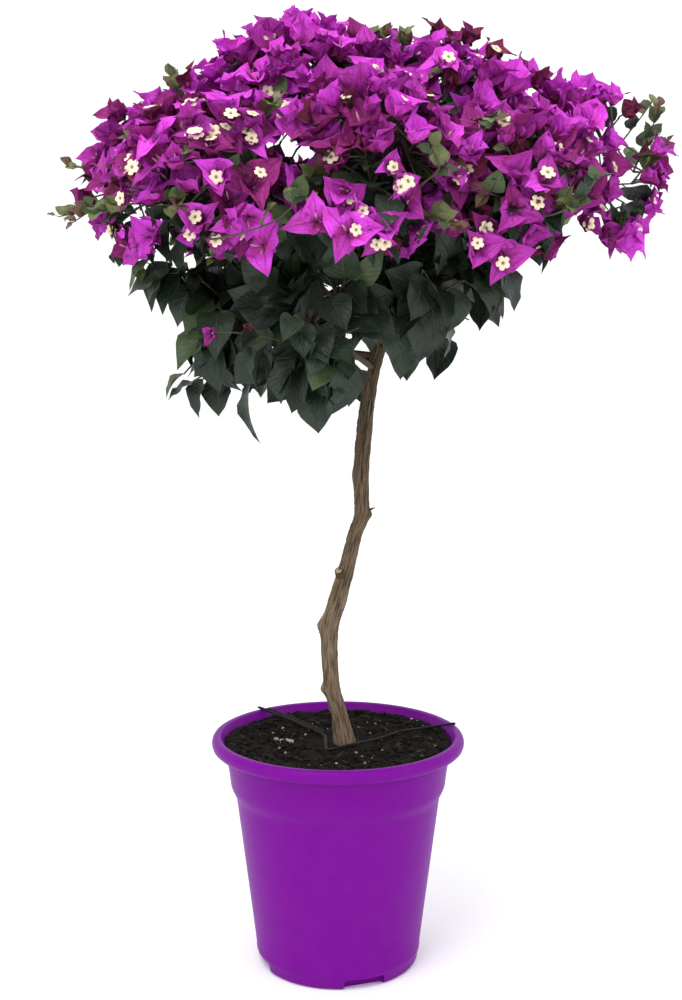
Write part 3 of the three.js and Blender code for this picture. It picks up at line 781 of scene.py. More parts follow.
def collectorObject(name, collector, materials):
    points = np.concatenate(collector["points"]) * mm
    faces = np.concatenate(collector["faces"])
    maps = np.concatenate(collector["maps"])
    tones = np.concatenate(collector["tones"])
    data = bpy.data.meshes.new(name)
    data.vertices.add(len(points))
    data.vertices.foreach_set("co", points.astype(np.float32).ravel())
    data.loops.add(len(faces) * 3)
    data.loops.foreach_set("vertex_index", faces.astype(np.int32).ravel())
    data.polygons.add(len(faces))
    data.polygons.foreach_set("loop_start", np.arange(0, len(faces) * 3, 3, dtype=np.int32))
    for material in materials:
        data.materials.append(material)
    data.polygons.foreach_set("material_index", tones.astype(np.int32))
    data.polygons.foreach_set("use_smooth", np.ones(len(faces), dtype=bool))
    layer = data.uv_layers.new(name="UVMap")
    layer.data.foreach_set("uv", maps[faces.ravel()].astype(np.float32).ravel())
    data.update()
    data.validate()
    print(name, "made:", len(faces), "triangles")
    return linkObject(name, data)


# blade shapes; a form is its fold, curl, ruffle and phase
bract = {
    "length": 28, "across": 4, "crinkle": 0.035,
    "rows": [0, 0.06, 0.16, 0.28, 0.42, 0.56, 0.7, 0.82, 0.92, 1.0],
    "width": [(0, 0.04), (0.06, 0.19), (0.18, 0.34), (0.34, 0.43), (0.5, 0.41), (0.66, 0.3), (0.8, 0.17),
              (0.91, 0.07), (1, 0.0)],
    "forms": [(0.55, 0.1, 0.3, 0.0), (0.3, 0.3, 0.4, 1.7), (0.75, -0.1, 0.26, 3.1), (0.45, 0.42, 0.42, 4.4),
              (0.2, -0.18, 0.44, 5.6), (0.9, 0.16, 0.3, 2.4), (0.5, 0.55, 0.34, 0.9)],
}
leaf = {
    "length": 46, "across": 4, "crinkle": 0.008,
    "rows": [0, 0.04, 0.11, 0.22, 0.36, 0.5, 0.64, 0.76, 0.87, 0.95, 1.0],
    "width": [(0, 0.05), (0.04, 0.17), (0.11, 0.29), (0.22, 0.385), (0.36, 0.42), (0.5, 0.4), (0.64, 0.33),
              (0.76, 0.235), (0.87, 0.12), (0.95, 0.04), (1, 0.0)],
    "forms": [(0.22, 0.16, 0.1, 0.4), (0.35, 0.24, 0.1, 1.9), (0.14, 0.08, 0.14, 3.5), (0.5, 0.18, 0.1, 5.0),
              (0.3, 0.36, 0.12, 2.6)],
    "youngForms": [(0.25, 0.05, 0.1, 0.7), (0.12, 0.14, 0.16, 2.2)],
}


def meshArrays(build):
    bmesh.ops.triangulate(build, faces=build.faces)
    build.verts.index_update()
    points = np.array([tuple(vert.co) for vert in build.verts])
    return points, np.array([[vert.index for vert in face.verts] for face in build.faces])


def bladeShape(kind, fold, curl, ruffle, phase):  # root at the origin, tip along Y, inner face up Z
    build = bmesh.new()
    rows = len(kind["rows"]) - 1
    bmesh.ops.create_grid(build, x_segments=kind["across"], y_segments=rows, size=0.5)
    stations, widths = zip(*kind["width"])
    maps = build.verts.layers.float_vector.new("place")
    for vert in build.verts:
        along = kind["rows"][round((vert.co.y + 0.5) * rows)]
        across = vert.co.x * 2
        half = float(np.interp(along, stations, widths))
        vert[maps] = (0.5 + across * 0.5, along, 0)
        lift = fold * abs(across) ** 1.3 * half - curl * along ** 2 + 0.05 * math.sin(along * 3.1)
        lift += ruffle * abs(across) ** 1.5 * math.sin(along * 13 + phase + (1.6 if across > 0 else 0)) * half
        lift += kind["crinkle"] * math.sin(along * 24 + across * 4 + phase * 2) * (1 - along) ** 0.5
        vert.co = Vector((across * half, along, lift)) * kind["length"]
    bmesh.ops.remove_doubles(build, verts=build.verts, dist=1e-3)
    points, faces = meshArrays(build)
    uvs = np.array([tuple(vert[maps])[:2] for vert in build.verts])
    build.free()
    return {"points": points, "faces": faces, "maps": uvs}


def shapeOf(build):  # points, triangles and a map whose V is 0 at the middle of the shape and 1 at its edge
    points, faces = meshArrays(build)
    build.free()
    away = np.hypot(points[:, 0], points[:, 1])
    maps = np.column_stack([np.zeros(len(points)), away / away.max()])
    return {"points": points, "faces": faces, "maps": maps}


def starShape():  # a small open flower: five broad rounded lobes round a sunk throat
    build = bmesh.new()
    bmesh.ops.create_circle(build, cap_ends=True, cap_tris=True, segments=20, radius=1)
    rays = [edge for edge in build.edges if min(vert.co.length for vert in edge.verts) < 0.01]
    bmesh.ops.subdivide_edges(build, edges=rays, cuts=2)
    for vert in build.verts:
        reach = vert.co.length
        step = round(math.atan2(vert.co.y, vert.co.x) / math.tau * 20) % 4
        lobe = 1 - (0.3, 0.03, 0.0, 0.03)[step] * reach ** 2
        crest = 0.34 * math.sin(reach * 2.6) - 0.2 + (0.06 if step == 2 else 0.0) * reach
        vert.co = Vector((vert.co.x * lobe, vert.co.y * lobe, crest))
    return shapeOf(build)


def budShape():  # a closed slender flower tube, a little swollen at its end
    build = bmesh.new()
    bmesh.ops.create_cone(build, cap_ends=True, segments=5, radius1=0.55, radius2=0.6, depth=1.0)
    bmesh.ops.translate(build, verts=build.verts, vec=(0, 0, 0.5))
    sides = [edge for edge in build.edges if abs(edge.verts[0].co.z - edge.verts[1].co.z) > 0.5]
    bmesh.ops.subdivide_edges(build, edges=sides, cuts=2)
    for vert in build.verts:
        swell = float(np.interp(vert.co.z, [0, 0.34, 0.67, 1.0], [0.6, 0.8, 1.25, 0.35]))
        vert.co.x *= swell
        vert.co.y *= swell
    return shapeOf(build)


def axesMatrix(across, along, up, scale=1):
    return np.array([tuple(across), tuple(along), tuple(up)]).T * scale


bractShapes = [bladeShape(bract, *form) for form in bract["forms"]]
leafShapes = [bladeShape(leaf, *form) for form in leaf["forms"]]
youngShapes = [bladeShape(leaf, *form) for form in leaf["youngForms"]]
star = starShape()
bud = budShape()


# growing the crown
growth = {
    "bloom": {
        "spread": 40, "outerTips": 30, "clusters": 12, "spacing": 13.2, "leafLength": (18, 32),
        "frontEdge": -189, "heartLeaves": 10, "heartLength": (26, 38),  # leaves deep in the mass
        "headLean": (0.35, 1.45), "headReach": (7, 27), "headScale": (0.78, 1.08), "smaller": 0.7,
        "leafyBelow": 668, "leafyShare": 0.17, "leafyLength": (12, 22),  # leafy tips in place of heads
        "flowerShare": 0.26, "besideShare": 0.24, "besideLength": (10, 20), "youngScale": 0.62,
        # heights and a side where heads take the painted lit tone or the painted shaded tones
        "litAbove": 700, "shadedLeftOf": -85, "shadedBelow": 720, "turnedOpen": 0.8,
    },
    "leaves": {"spread": 34, "perTwig": 10, "leafLength": (29, 44), "spacing": 11.5, "smaller": 0.72},
    "flowerUses": 3, "flowerNear": 14, "sideBorder": 20,
}
skyGaps = [  # across, height and size, as seen from the front
    (246, 724, 17), (238, 704, 13), (-58, 710, 5), (-42, 706, 6), (-26, 702, 5), (-170, 650, 8),
    (-148, 634, 8), (208, 630, 12), (-188, 722, 6), (232, 664, 7), (236, 684, 10), (208, 648, 11),
    (-3, 595, 4), (-12, 584, 4), (-57, 538, 5), (-66, 554, 4), (12, 538, 5), (-81, 500, 9), (110, 552, 14),
    (57, 546, 9), (87, 534, 8), (-142, 558, 9), (-146, 540, 8), (-58, 484, 12), (-36, 486, 10),
    (-44, 476, 10), (28, 520, 9), (-138, 574, 6), (104, 566, 9), (34, 540, 7), (-217, 708, 10),
    (142, 789, 12), (114, 797, 7), (92, 800, 5), (66, 803, 6), (-128, 556, 7), (60, 536, 7),
]
flowerSpots = [  # where open flowers stand out, left to right and by height
    (-118, 716), (-80, 728), (-50, 724), (-98, 706), (7, 742), (22, 638), (18, 622), (133, 718), (130, 758),
    (103, 706), (112, 708), (212, 694), (220, 694), (250, 655), (258, 652), (228, 636), (176, 628),
    (182, 634), (171, 618), (122, 616), (134, 608), (-180, 648), (-188, 640), (-90, 690), (-72, 688),
    (212, 662), (190, 684), (-14, 644), (44, 650), (-150, 656), (-40, 716), (70, 738), (150, 735), (60, 612),
    (100, 668),
]
grownTips = []  # where later shoots can start
flowerUses = dict.fromkeys(flowerSpots, 0)
bracts = {"left": newCollector(), "right": newCollector()}
flowers = newCollector()
foliage = newCollector()
skirt = newCollector()
twigs = newCollector()


def inGap(point, margin):  # true where a line of sight through the point would close a gap
    eyeX, eyeY, eyeZ = (value / mm for value in studio["cameraAt"])
    share = -eyeY / (point.y - eyeY)
    x, z = eyeX + (point.x - eyeX) * share, eyeZ + (point.z - eyeZ) * share
    return any((x - across) ** 2 + (z - height) ** 2 < (size + margin) ** 2
               for across, height, size in skyGaps)


def bloomSide(x):  # which of the two joined meshes takes the heads that grow here
    return "left" if x < growth["sideBorder"] else "right"


def addLeaf(collector, root, along, facing, length, tone, rng, stalk=True, roll=0.55, shapes=leafShapes):
    up = facing - along * facing.dot(along)
    if up.length < 0.05:
        up = along.orthogonal()
    up.normalize()
    up.rotate(Matrix.Rotation(rng.uniform(-roll, roll), 3, along))
    across = along.cross(up).normalized()
    shape = shapes[rng.integers(len(shapes))]
    start = root
    if stalk:
        start = root + along * length * 0.14
        addTube(twigs, [root, start], [0.7, 0.55], 4, 1, closed=False)
    broad = rng.uniform(0.85, 1.12)
    matrix = axesMatrix(across * broad, along, up, length / leaf["length"])
    addShape(collector, shape, matrix, np.array(start), tone)


# three bracts round three flowers
def addCluster(collector, root, axis, scale, tone, openCount, openness, rng):
    turn = rng.uniform(0, math.tau)
    for k in range(3):
        side = tilted(axis, math.pi / 2, turn + k * math.tau / 3 + rng.uniform(-0.25, 0.25))
        lean = openness * rng.uniform(0.8, 1.2)
        along = leaning(axis, side, lean)
        inner = (axis * math.sin(lean) - side * math.cos(lean)).normalized()
        across = along.cross(inner)
        shape = bractShapes[rng.integers(len(bractShapes))]
        size = scale * rng.uniform(0.85, 1.12)
        shade = tone if rng.random() < 0.75 else min(3, max(0, tone + pick(rng, [-1, 1])))
        matrix = axesMatrix(across * rng.uniform(0.9, 1.12), along, inner, size)
        addShape(collector, shape, matrix, np.array(root), shade)
        aim = leaning(axis, side, lean * 0.45)  # the flower tube in front of this bract
        beside = aim.orthogonal().normalized()
        length = rng.uniform(10, 15) * scale
        matrix = axesMatrix(beside * 1.5, aim.cross(beside) * 1.5, aim * length)
        addShape(flowers, bud, matrix, np.array(root + aim * 1.5), pick(rng, [1, 1, 3]) if tone < 3 else 2)
        if k < openCount:
            face = (aim + Vector((0, -0.35, 0.1))).normalized()
            across = face.orthogonal().normalized()
            radius = rng.uniform(4.8, 6.1)
            matrix = axesMatrix(across * radius, face.cross(across) * radius, face * radius)
            addShape(flowers, star, matrix, np.array(root + aim * (length + 2.2)), 0)


def bentPath(start, end, sag, count, rng):
    middle = start.lerp(end, 0.5) + Vector(tuple(rng.uniform(-1, 1, 3))) * (end - start).length * 0.07
    middle.z += sag
    return roundedPath([start, middle, end], count)


def takeFlowerSpot(point):  # true for the first heads that grow near a spot
    for place, uses in flowerUses.items():
        near = (point.x - place[0]) ** 2 + (point.z - place[1]) ** 2 < growth["flowerNear"] ** 2
        if uses < growth["flowerUses"] and near:
            flowerUses[place] += 1
            return True
    return False


def growMains(start, middle, inside, draw, rng):  # a stem to the middle of the mass and its three main twigs
    stem = bentPath(start, middle, 0, 8, rng)
    addTube(twigs, stem, np.linspace(limb["boughTip"], limb["stem"] - 0.2, 8), 8, 0)
    forks = [middle]
    for direction in spreadDirections(3, draw):
        end = middle + direction * edgeDistance(inside, middle, direction) * limb["mainShare"]
        radii = np.linspace(limb["stem"] - 0.3, limb["twig"], 6)
        addTube(twigs, bentPath(middle, end, 2, 6, rng), radii, 6, 0)
        forks.append(end)
    return forks


def growBloom(name, start, rng, draw):
    rule = growth["bloom"]
    middle = Vector(crown[name][1])
    inside = makeSpace(name)
    collector = bracts[bloomSide(middle.x)]
    forks = growMains(start, middle, inside, draw, rng)
    outward = (middle - Vector(hearts["bloom"])).normalized()
    # painted shade: leaves deep in the mass take the dark tones
    for k in range(rule["heartLeaves"]):  # dark leaves deep in the mass
        aim = strayed(outward, 0.3, 2.4, rng)
        spot = forks[k % 4] + aim * rng.uniform(2, 12)
        length = rng.uniform(*rule["heartLength"])
        if inside(spot + aim * length * 1.15, 0.9) and not inGap(spot + aim * length * 0.6, 12):
            addLeaf(foliage, spot, aim, Vector((0, 0, 1)), length, pick(rng, [0, 0, 1]), rng, roll=1.2)
    directions = sorted(spreadDirections(rule["spread"], draw), key=lambda d: -d.dot(outward))
    placed = []
    for order, direction in enumerate(directions):
        outer = order < rule["outerTips"]
        room = edgeDistance(inside, middle, direction)
        tip = middle + direction * max(12.0, (room - 25) * (rng.uniform(0.86, 1.0) if outer else 0.7))
        fork = nearest(forks, tip)
        path = bentPath(fork, tip, 2.5, 6, rng)
        if inGap(path[3], -2) and rng.random() < 0.5:
            continue
        addTube(twigs, path, np.linspace(limb["twig"], limb["twigTip"], 6), 5, 0)
        grownTips.append(path[-1])
        along = (tip - fork).normalized()
        low = direction.z < -0.3
        for k in range(5 if low else 3):  # leaves along the twig
            if rng.random() < (0.8 if low else 0.3):
                spot = path[1 + k % 5]
                aim = strayed(along, 0.6, 1.3, rng)
                aim = (aim + Vector((0, 0, -0.75 if low else -0.25))).normalized()
                length = rng.uniform(*rule["leafLength"]) * (1.25 if low else 1)
                if inside(spot + aim * length * 1.15, 1.0, 7) and not inGap(spot + aim * length * 0.7, 9):
                    # painted shade: leaves low under the heads take the dark tones, higher leaves the greener
                    # ones
                    tone = pick(rng, [0, 0, 1] if low else [0, 1, 2, 2])
                    addLeaf(foliage, spot, aim, Vector((aim.x * 0.4, aim.y * 0.4, 1)), length, tone, rng)
        for k in range(rule["clusters"]):
            if low and k > 3:
                break
            lean = 0.0 if k == 0 else rng.uniform(*rule["headLean"])
            aim = tilted(direction, lean, rng.uniform(0, math.tau))
            base = path[-1] if k < 4 else path[-2 - (k % 2)]
            spot = base + aim * rng.uniform(*rule["headReach"])
            upward = blendValue(0.2, 1.3, smoothStep(direction.z, -0.4, 0.3))
            facing = (aim * 0.35 + direction * 0.55 + outward * 0.2 + Vector((0, 0, upward))).normalized()
            scale = rng.uniform(*rule["headScale"])
            if not inside(spot + facing * bract["length"] * scale * 0.8, 1.0, 6):
                scale *= rule["smaller"]
                if not inside(spot + facing * bract["length"] * scale * 0.8, 1.0, 6):
                    continue
            crowded = any((spot - other).length < rule["spacing"] for other in placed)
            if crowded or inGap(spot + facing * 10, 11):
                continue
            if k > 0 and inGap(base.lerp(spot, 0.6), 0):
                continue
            spot.y = max(spot.y, rule["frontEdge"])
            placed.append(spot)
            addTube(twigs, bentPath(base, spot, 0.8, 4, rng), np.linspace(1.0, 0.7, 4), 4, 1)
            if spot.z < rule["leafyBelow"] and rng.random() < rule["leafyShare"]:
                for _ in range(3):
                    aim = strayed(facing, 0.5, 1.5, rng)
                    length = rng.uniform(*rule["leafyLength"])
                    if inside(spot + aim * length, 1.0, 6):
                        addLeaf(foliage, spot, aim, facing, length, pick(rng, [1, 2, 2, 3, 4]), rng)
                continue
            away = spot - middle
            depth = away.length / max(20.0, edgeDistance(inside, middle, away.normalized()))
            # painted light and shade: heads high in the crown take mostly the lit tone; lower heads, heads on
            # the lower left and heads deep in the mass take the shaded tones
            shades = [0, 0, 0, 0, 0, 1] if spot.z > rule["litAbove"] else [0, 1, 1, 1, 2, 2]
            if spot.x < rule["shadedLeftOf"] and spot.z < rule["shadedBelow"]:
                shades = [0, 1, 1, 2, 2, 2]
            tone = pick(rng, shades if depth > 0.45 else [1, 1, 2])
            openness = rng.uniform(0.22, 0.8) if direction.z > 0.25 else rng.uniform(0.4, 1.0)
            if rng.random() < (0.1 if direction.z > 0.5 else 0.06):  # a young wine-red head
                tone = 3
                scale *= rule["youngScale"]
                openness = rng.uniform(0.15, 0.45)
            front = spot.y < -20 and takeFlowerSpot(spot)
            openCount = pick(rng, [1, 2, 2]) if front else int(rng.random() < rule["flowerShare"])
            if front:
                turned = (facing + Vector((0, -0.7, 0))).normalized()
                openness = max(openness, rule["turnedOpen"])
                if inside(spot + turned * bract["length"] * scale, 1.0, 8):
                    facing = turned
            addCluster(collector, spot, facing, scale, tone, openCount, openness, rng)
            if rng.random() < rule["besideShare"]:
                aim = strayed(facing, 1.0, 1.8, rng)
                length = rng.uniform(*rule["besideLength"])
                if inside(spot + aim * length, 1.0, 8):
                    addLeaf(foliage, spot - facing * 3, aim, facing, length, pick(rng, [1, 2, 3, 4]), rng)
    print(name, "carries", len(placed), "clusters")


def growLeaves(name, start, rng, draw):
    rule = growth["leaves"]
    middle = Vector(crown[name][1])
    inside = makeSpace(name)
    forks = growMains(start, middle, inside, draw, rng)
    outward = middle - Vector(hearts["leaves"])
    outward = Vector((outward.x, outward.y, 0)).normalized()
    placed = []
    for direction in spreadDirections(rule["spread"], draw):
        room = edgeDistance(inside, middle, direction)
        tip = middle + direction * max(10.0, (room - 28) * rng.uniform(0.8, 1.0))
        fork = nearest(forks, tip)
        path = bentPath(fork, tip, 3, 7, rng)
        addTube(twigs, path, np.linspace(limb["twig"], limb["twigTip"], 7), 5, 0)
        grownTips.append(path[-1])
        level = (Vector((direction.x, direction.y, 0)) + outward * 0.6).normalized()
        high = direction.z > 0.25
        for k in range(rule["perTwig"]):
            spot = path[max(1, 6 - k)]
            away = strayed(direction, 0.2, 1.4, rng)
            drop = rng.uniform(-0.5, 0.7) if high else rng.uniform(0.2, 1.3)
            aim = (away * 0.9 + level * 0.35 + Vector((0, 0, -drop))).normalized()
            length = rng.uniform(*rule["leafLength"])
            loose = 22 if high else 8
            if not inside(spot + aim * length * 1.14, 1.02, loose):
                length *= rule["smaller"]
                if not inside(spot + aim * length * 1.14, 1.03, loose + 4):
                    continue
            centre = spot + aim * length * 0.6
            if any((centre - other).length < rule["spacing"] for other in placed) or inGap(centre, 9):
                continue
            placed.append(centre)
            tone = pick(rng, [0, 0, 0, 1, 1, 2] if rng.random() < 0.5 else [0, 0, 1])
            addLeaf(skirt, spot, aim, level + Vector((0, 0, 0.35)), length, tone, rng, roll=1.0)
    print(name, "carries", len(placed), "leaves")


sprigs = [  # young green shoots that stand out of the bloom: from, to
    ((-185, -30, 652), (-228, -34, 646)), ((-190, -20, 676), (-220, -16, 690)),
    ((-178, -60, 642), (-216, -62, 636)), ((-120, -10, 735), (-138, -12, 762)),
    ((240, -10, 700), (266, -12, 738)), ((240, -30, 680), (266, -34, 702)), ((230, 20, 690), (262, 60, 704)),
    ((-20, -60, 700), (-14, -120, 704)), ((100, -80, 700), (128, -130, 688)),
    ((40, -50, 764), (52, -66, 782)), ((20, 0, 780), (44, -8, 796)), ((-100, 60, 740), (-122, 84, 762)),
    ((120, 80, 735), (150, 104, 752)), ((40, 150, 735), (52, 180, 748)), ((-150, 90, 690), (-186, 110, 694)),
    ((200, 90, 700), (232, 100, 712)), ((-130, -80, 690), (-150, -150, 690)),
    ((70, -150, 630), (84, -188, 626)), ((-140, -90, 660), (-168, -140, 672)),
    ((-120, -120, 650), (-150, -176, 650)), ((-150, -70, 650), (-190, -100, 640)),
    ((-110, -150, 650), (-112, -188, 640)), ((-60, -120, 700), (-40, -180, 716)),
    ((110, -120, 690), (112, -184, 700)), ((150, -130, 650), (172, -180, 640)),
    ((-20, -140, 650), (-28, -188, 652)), ((-70, -60, 620), (-96, -130, 606)),
]


def makeSprigs(rng):
    for start, end in sprigs:
        path = bentPath(nearest(grownTips, Vector(start)), Vector(end), 3, 9, rng)
        addTube(twigs, path, np.linspace(0.95, 0.45, 9), 5, 1)
        along = (path[-1] - path[4]).normalized()
        for k in range(3, 9):
            for turn in (0, math.pi):
                if rng.random() < 0.62:
                    aim = tilted(along, rng.uniform(0.4, 0.9), turn + k * 1.2 + rng.uniform(-0.4, 0.4))
                    aim = (aim + Vector((0, 0, 0.3))).normalized()
                    length = blendValue(19, 9, (k - 2) / 7) * rng.uniform(0.85, 1.2)
                    tone = pick(rng, [2, 3, 3, 3, 4] if k < 7 else [3, 4])
                    addLeaf(foliage, path[k], aim, Vector((0, -0.6, 0.8)), length, tone, rng, stalk=False,
                            shapes=youngShapes)


arcs = [  # long bare stems with a few leaves towards their end: from, over, to, length of the leaves
    ((-93, -168, 618), (-47, -180, 629), (-20, -182, 652), 21),
    ((-112, -150, 640), (-96, -176, 652), (-70, -184, 668), 14),
    ((222, -22, 696), (244, -22, 722), (256, -22, 738), 12),
    ((205, -22, 642), (226, -24, 636), (242, -26, 648), 9),
    ((-186, -36, 646), (-178, -40, 622), (-162, -42, 606), 16),
    ((150, -160, 636), (172, -176, 644), (186, -176, 662), 14),
    ((60, -174, 656), (72, -186, 666), (66, -190, 680), 15),
    ((10, 170, 640), (40, 186, 650), (66, 184, 672), 18),
    ((-120, 150, 630), (-140, 160, 646), (-160, 140, 668), 16),
    ((170, 130, 640), (200, 130, 652), (218, 110, 676), 16),
]


def makeArcs(rng):
    for start, over, end, length in arcs:
        foot = nearest(grownTips, Vector(start))
        path = roundedPath([foot, Vector(start), Vector(over), Vector(end)], 14)
        addTube(twigs, path, np.linspace(1.05, 0.5, 14), 5, 1)
        for k in (8, 9, 11, 12, 13):
            along = (path[k] - path[k - 1]).normalized()
            aim = (strayed(along, 0.5, 1.1, rng) + Vector((0, 0, 0.2))).normalized()
            size = length * (1.15 - 0.05 * (k - 8)) * rng.uniform(0.85, 1.1)
            tone = pick(rng, [0, 1, 2, 2, 3])
            facing = Vector((0, -0.7 if end[1] < 0 else 0.7, 0.7))
            addLeaf(foliage, path[k], aim, facing, size, tone, rng, shapes=youngShapes)


standOuts = [  # heads that stand out: place, breadth, how open, tone, open flowers
    ((-54, -150, 614), 0.95, 1.2, 0, 0), ((8, -182, 622), 0.9, 1.15, 0, 1), ((6, -182, 642), 0.8, 0.9, 1, 1),
    ((-14, -178, 630), 0.8, 0.8, 1, 0), ((34, -178, 626), 0.85, 0.9, 0, 0),
    ((48, -170, 640), 0.85, 0.75, 1, 0), ((24, -30, 774), 0.9, 0.6, 1, 0), ((36, 8, 776), 0.95, 0.5, 0, 0),
    ((12, 34, 768), 0.95, 0.6, 1, 0), ((48, -46, 764), 0.85, 0.5, 0, 0), ((28, -66, 748), 0.8, 0.45, 0, 1),
    ((16, -10, 786), 0.8, 0.5, 2, 0), ((-150, -60, 622), 1.0, 0.8, 1, 0), ((-164, -44, 618), 0.9, 0.7, 2, 0),
    ((-140, -80, 628), 1.0, 0.8, 0, 0), ((236, -22, 634), 1.0, 0.7, 0, 1), ((226, -36, 624), 1.0, 0.8, 0, 0),
    ((214, -30, 630), 0.9, 0.6, 1, 0), ((250, -6, 656), 0.9, 0.6, 0, 1), ((-94, -122, 552), 0.42, 0.7, 1, 0),
    ((-67, -124, 556), 0.3, 0.5, 3, 0), ((118, -150, 606), 0.9, 0.7, 1, 1), ((78, -24, 787), 0.75, 0.3, 3, 0),
    ((103, -22, 784), 0.8, 0.35, 3, 0), ((90, -34, 778), 0.7, 0.4, 2, 0), ((123, -24, 772), 0.75, 0.35, 3, 1),
    ((142, -14, 764), 0.7, 0.4, 2, 1), ((160, -16, 752), 0.8, 0.4, 2, 0), ((172, -12, 744), 0.95, 0.5, 0, 0),
    ((188, -6, 742), 0.95, 0.5, 0, 0), ((204, -16, 740), 0.95, 0.5, 0, 0), ((180, -34, 730), 0.9, 0.6, 1, 0),
    ((166, 18, 742), 0.95, 0.5, 0, 0), ((196, 24, 738), 0.95, 0.5, 1, 0), ((-178, -22, 710), 0.9, 0.45, 1, 0),
    ((-188, -24, 690), 0.9, 0.5, 1, 0), ((-172, -6, 704), 0.95, 0.5, 0, 0),
    ((-108, -22, 744), 0.9, 0.45, 0, 0), ((-94, -14, 752), 0.9, 0.45, 0, 0),
    ((-150, -30, 716), 0.9, 0.5, 1, 1), ((-84, -14, 770), 0.7, 0.4, 2, 0), ((246, -24, 694), 0.6, 0.3, 3, 0),
    ((232, -26, 728), 0.62, 0.3, 3, 0), ((212, -34, 702), 0.85, 0.6, 0, 0),
    ((214, -36, 682), 0.85, 0.7, 1, 1), ((212, -36, 664), 0.8, 0.7, 1, 0), ((204, -34, 654), 0.8, 0.8, 1, 1),
    ((196, -42, 640), 0.75, 0.9, 1, 1), ((-174, -20, 726), 0.85, 0.45, 2, 0),
    ((100, -160, 612), 0.85, 0.8, 1, 1), ((-118, -20, 752), 0.7, 0.4, 3, 0),
    ((-130, 4, 744), 0.75, 0.45, 2, 0),
]


def makeStandOuts(rng):
    for place, scale, openness, tone, openCount in standOuts:
        spot = Vector(place)
        foot = min(grownTips, key=lambda tip: (tip - spot).length + 0.5 * abs(tip.y - spot.y))
        addTube(twigs, bentPath(foot, spot, 1.5, 6, rng), np.linspace(0.85, 0.6, 6), 5, 1)
        away = (spot - Vector(hearts["bloom"])).normalized()
        facing = (away * 0.8 + Vector((0, -0.5 if spot.y < 0 else 0.1, 0.15))).normalized()
        addCluster(bracts[bloomSide(spot.x)], spot, facing, scale, tone, openCount, openness, rng)
        grownTips.append(spot)


hangers = [  # leaves that hang out of the skirt on their own: root, tip, breadth, tone
    ((-70, -66, 512), (-74, -66, 458), 0.45, 1), ((-20, -114, 642), (-28, -120, 602), 1.0, 0),
    ((-42, -110, 640), (-40, -116, 600), 1.0, 0), ((160, -60, 626), (168, -62, 596), 0.8, 2),
    ((-15, -74, 504), (-18, -74, 468), 1.0, 1), ((-2, -104, 540), (-6, -106, 498), 1.0, 0),
    ((-120, -36, 512), (-144, -40, 496), 0.9, 1), ((-112, -30, 514), (-122, -34, 480), 1.0, 0),
    ((-98, -30, 516), (-102, -34, 480), 1.0, 0), ((-128, -30, 518), (-148, -34, 500), 0.8, 2),
    ((50, -20, 546), (55, -22, 510), 1.0, 1), ((44, -60, 560), (46, -62, 526), 1.0, 1),
    ((88, -60, 566), (88, -62, 527), 0.4, 0), ((72, -70, 572), (68, -72, 524), 1.0, 0),
    ((132, -56, 606), (146, -58, 566), 0.9, 0), ((116, -50, 592), (121, -52, 550), 0.45, 1),
    ((90, -74, 588), (84, -76, 546), 1.0, 1), ((-138, -40, 600), (-176, -46, 582), 0.9, 2),
    ((-136, -34, 608), (-160, -38, 568), 1.0, 0), ((-60, -90, 560), (-62, -92, 510), 1.0, 0),
    ((-96, -60, 540), (-100, -62, 500), 1.0, 0), ((20, 40, 520), (22, 42, 486), 1.0, 0),
    ((-40, 96, 520), (-44, 100, 480), 1.0, 0), ((90, 90, 550), (96, 94, 508), 1.0, 0),
    ((60, 60, 548), (62, 62, 506), 1.0, 1), ((-132, -60, 642), (-138, -64, 602), 0.9, 0),
    ((-122, -52, 632), (-128, -58, 590), 1.0, 1), ((-150, -50, 612), (-174, -54, 586), 0.9, 2),
    ((-138, -44, 604), (-158, -48, 574), 0.9, 1), ((-144, -64, 636), (-152, -70, 600), 0.7, 1),
    ((-126, -40, 602), (-150, -44, 566), 1.0, 0), ((-118, -36, 592), (-140, -40, 558), 1.0, 1),
]


def makeHangers(rng):
    for place, end, broad, tone in hangers:
        root, tip = Vector(place), Vector(end)
        foot = min(grownTips, key=lambda spot: (spot - root).length + 0.6 * max(0, root.z - spot.z))
        path = bentPath(foot, root, 3, 5, rng)
        addTube(twigs, path, np.linspace(1.0, 0.7, 5), 4, 1)
        along = (tip - root).normalized()
        facing = Vector((root.x * 0.4 - 10, -60 if root.y < 30 else 60, 20)).normalized()
        facing.rotate(Matrix.Rotation(math.copysign(math.acos(broad), root.x), 3, "Z"))
        addLeaf(skirt, root, along, facing, (tip - root).length / 1.1, tone, rng, stalk=False, roll=0.3)


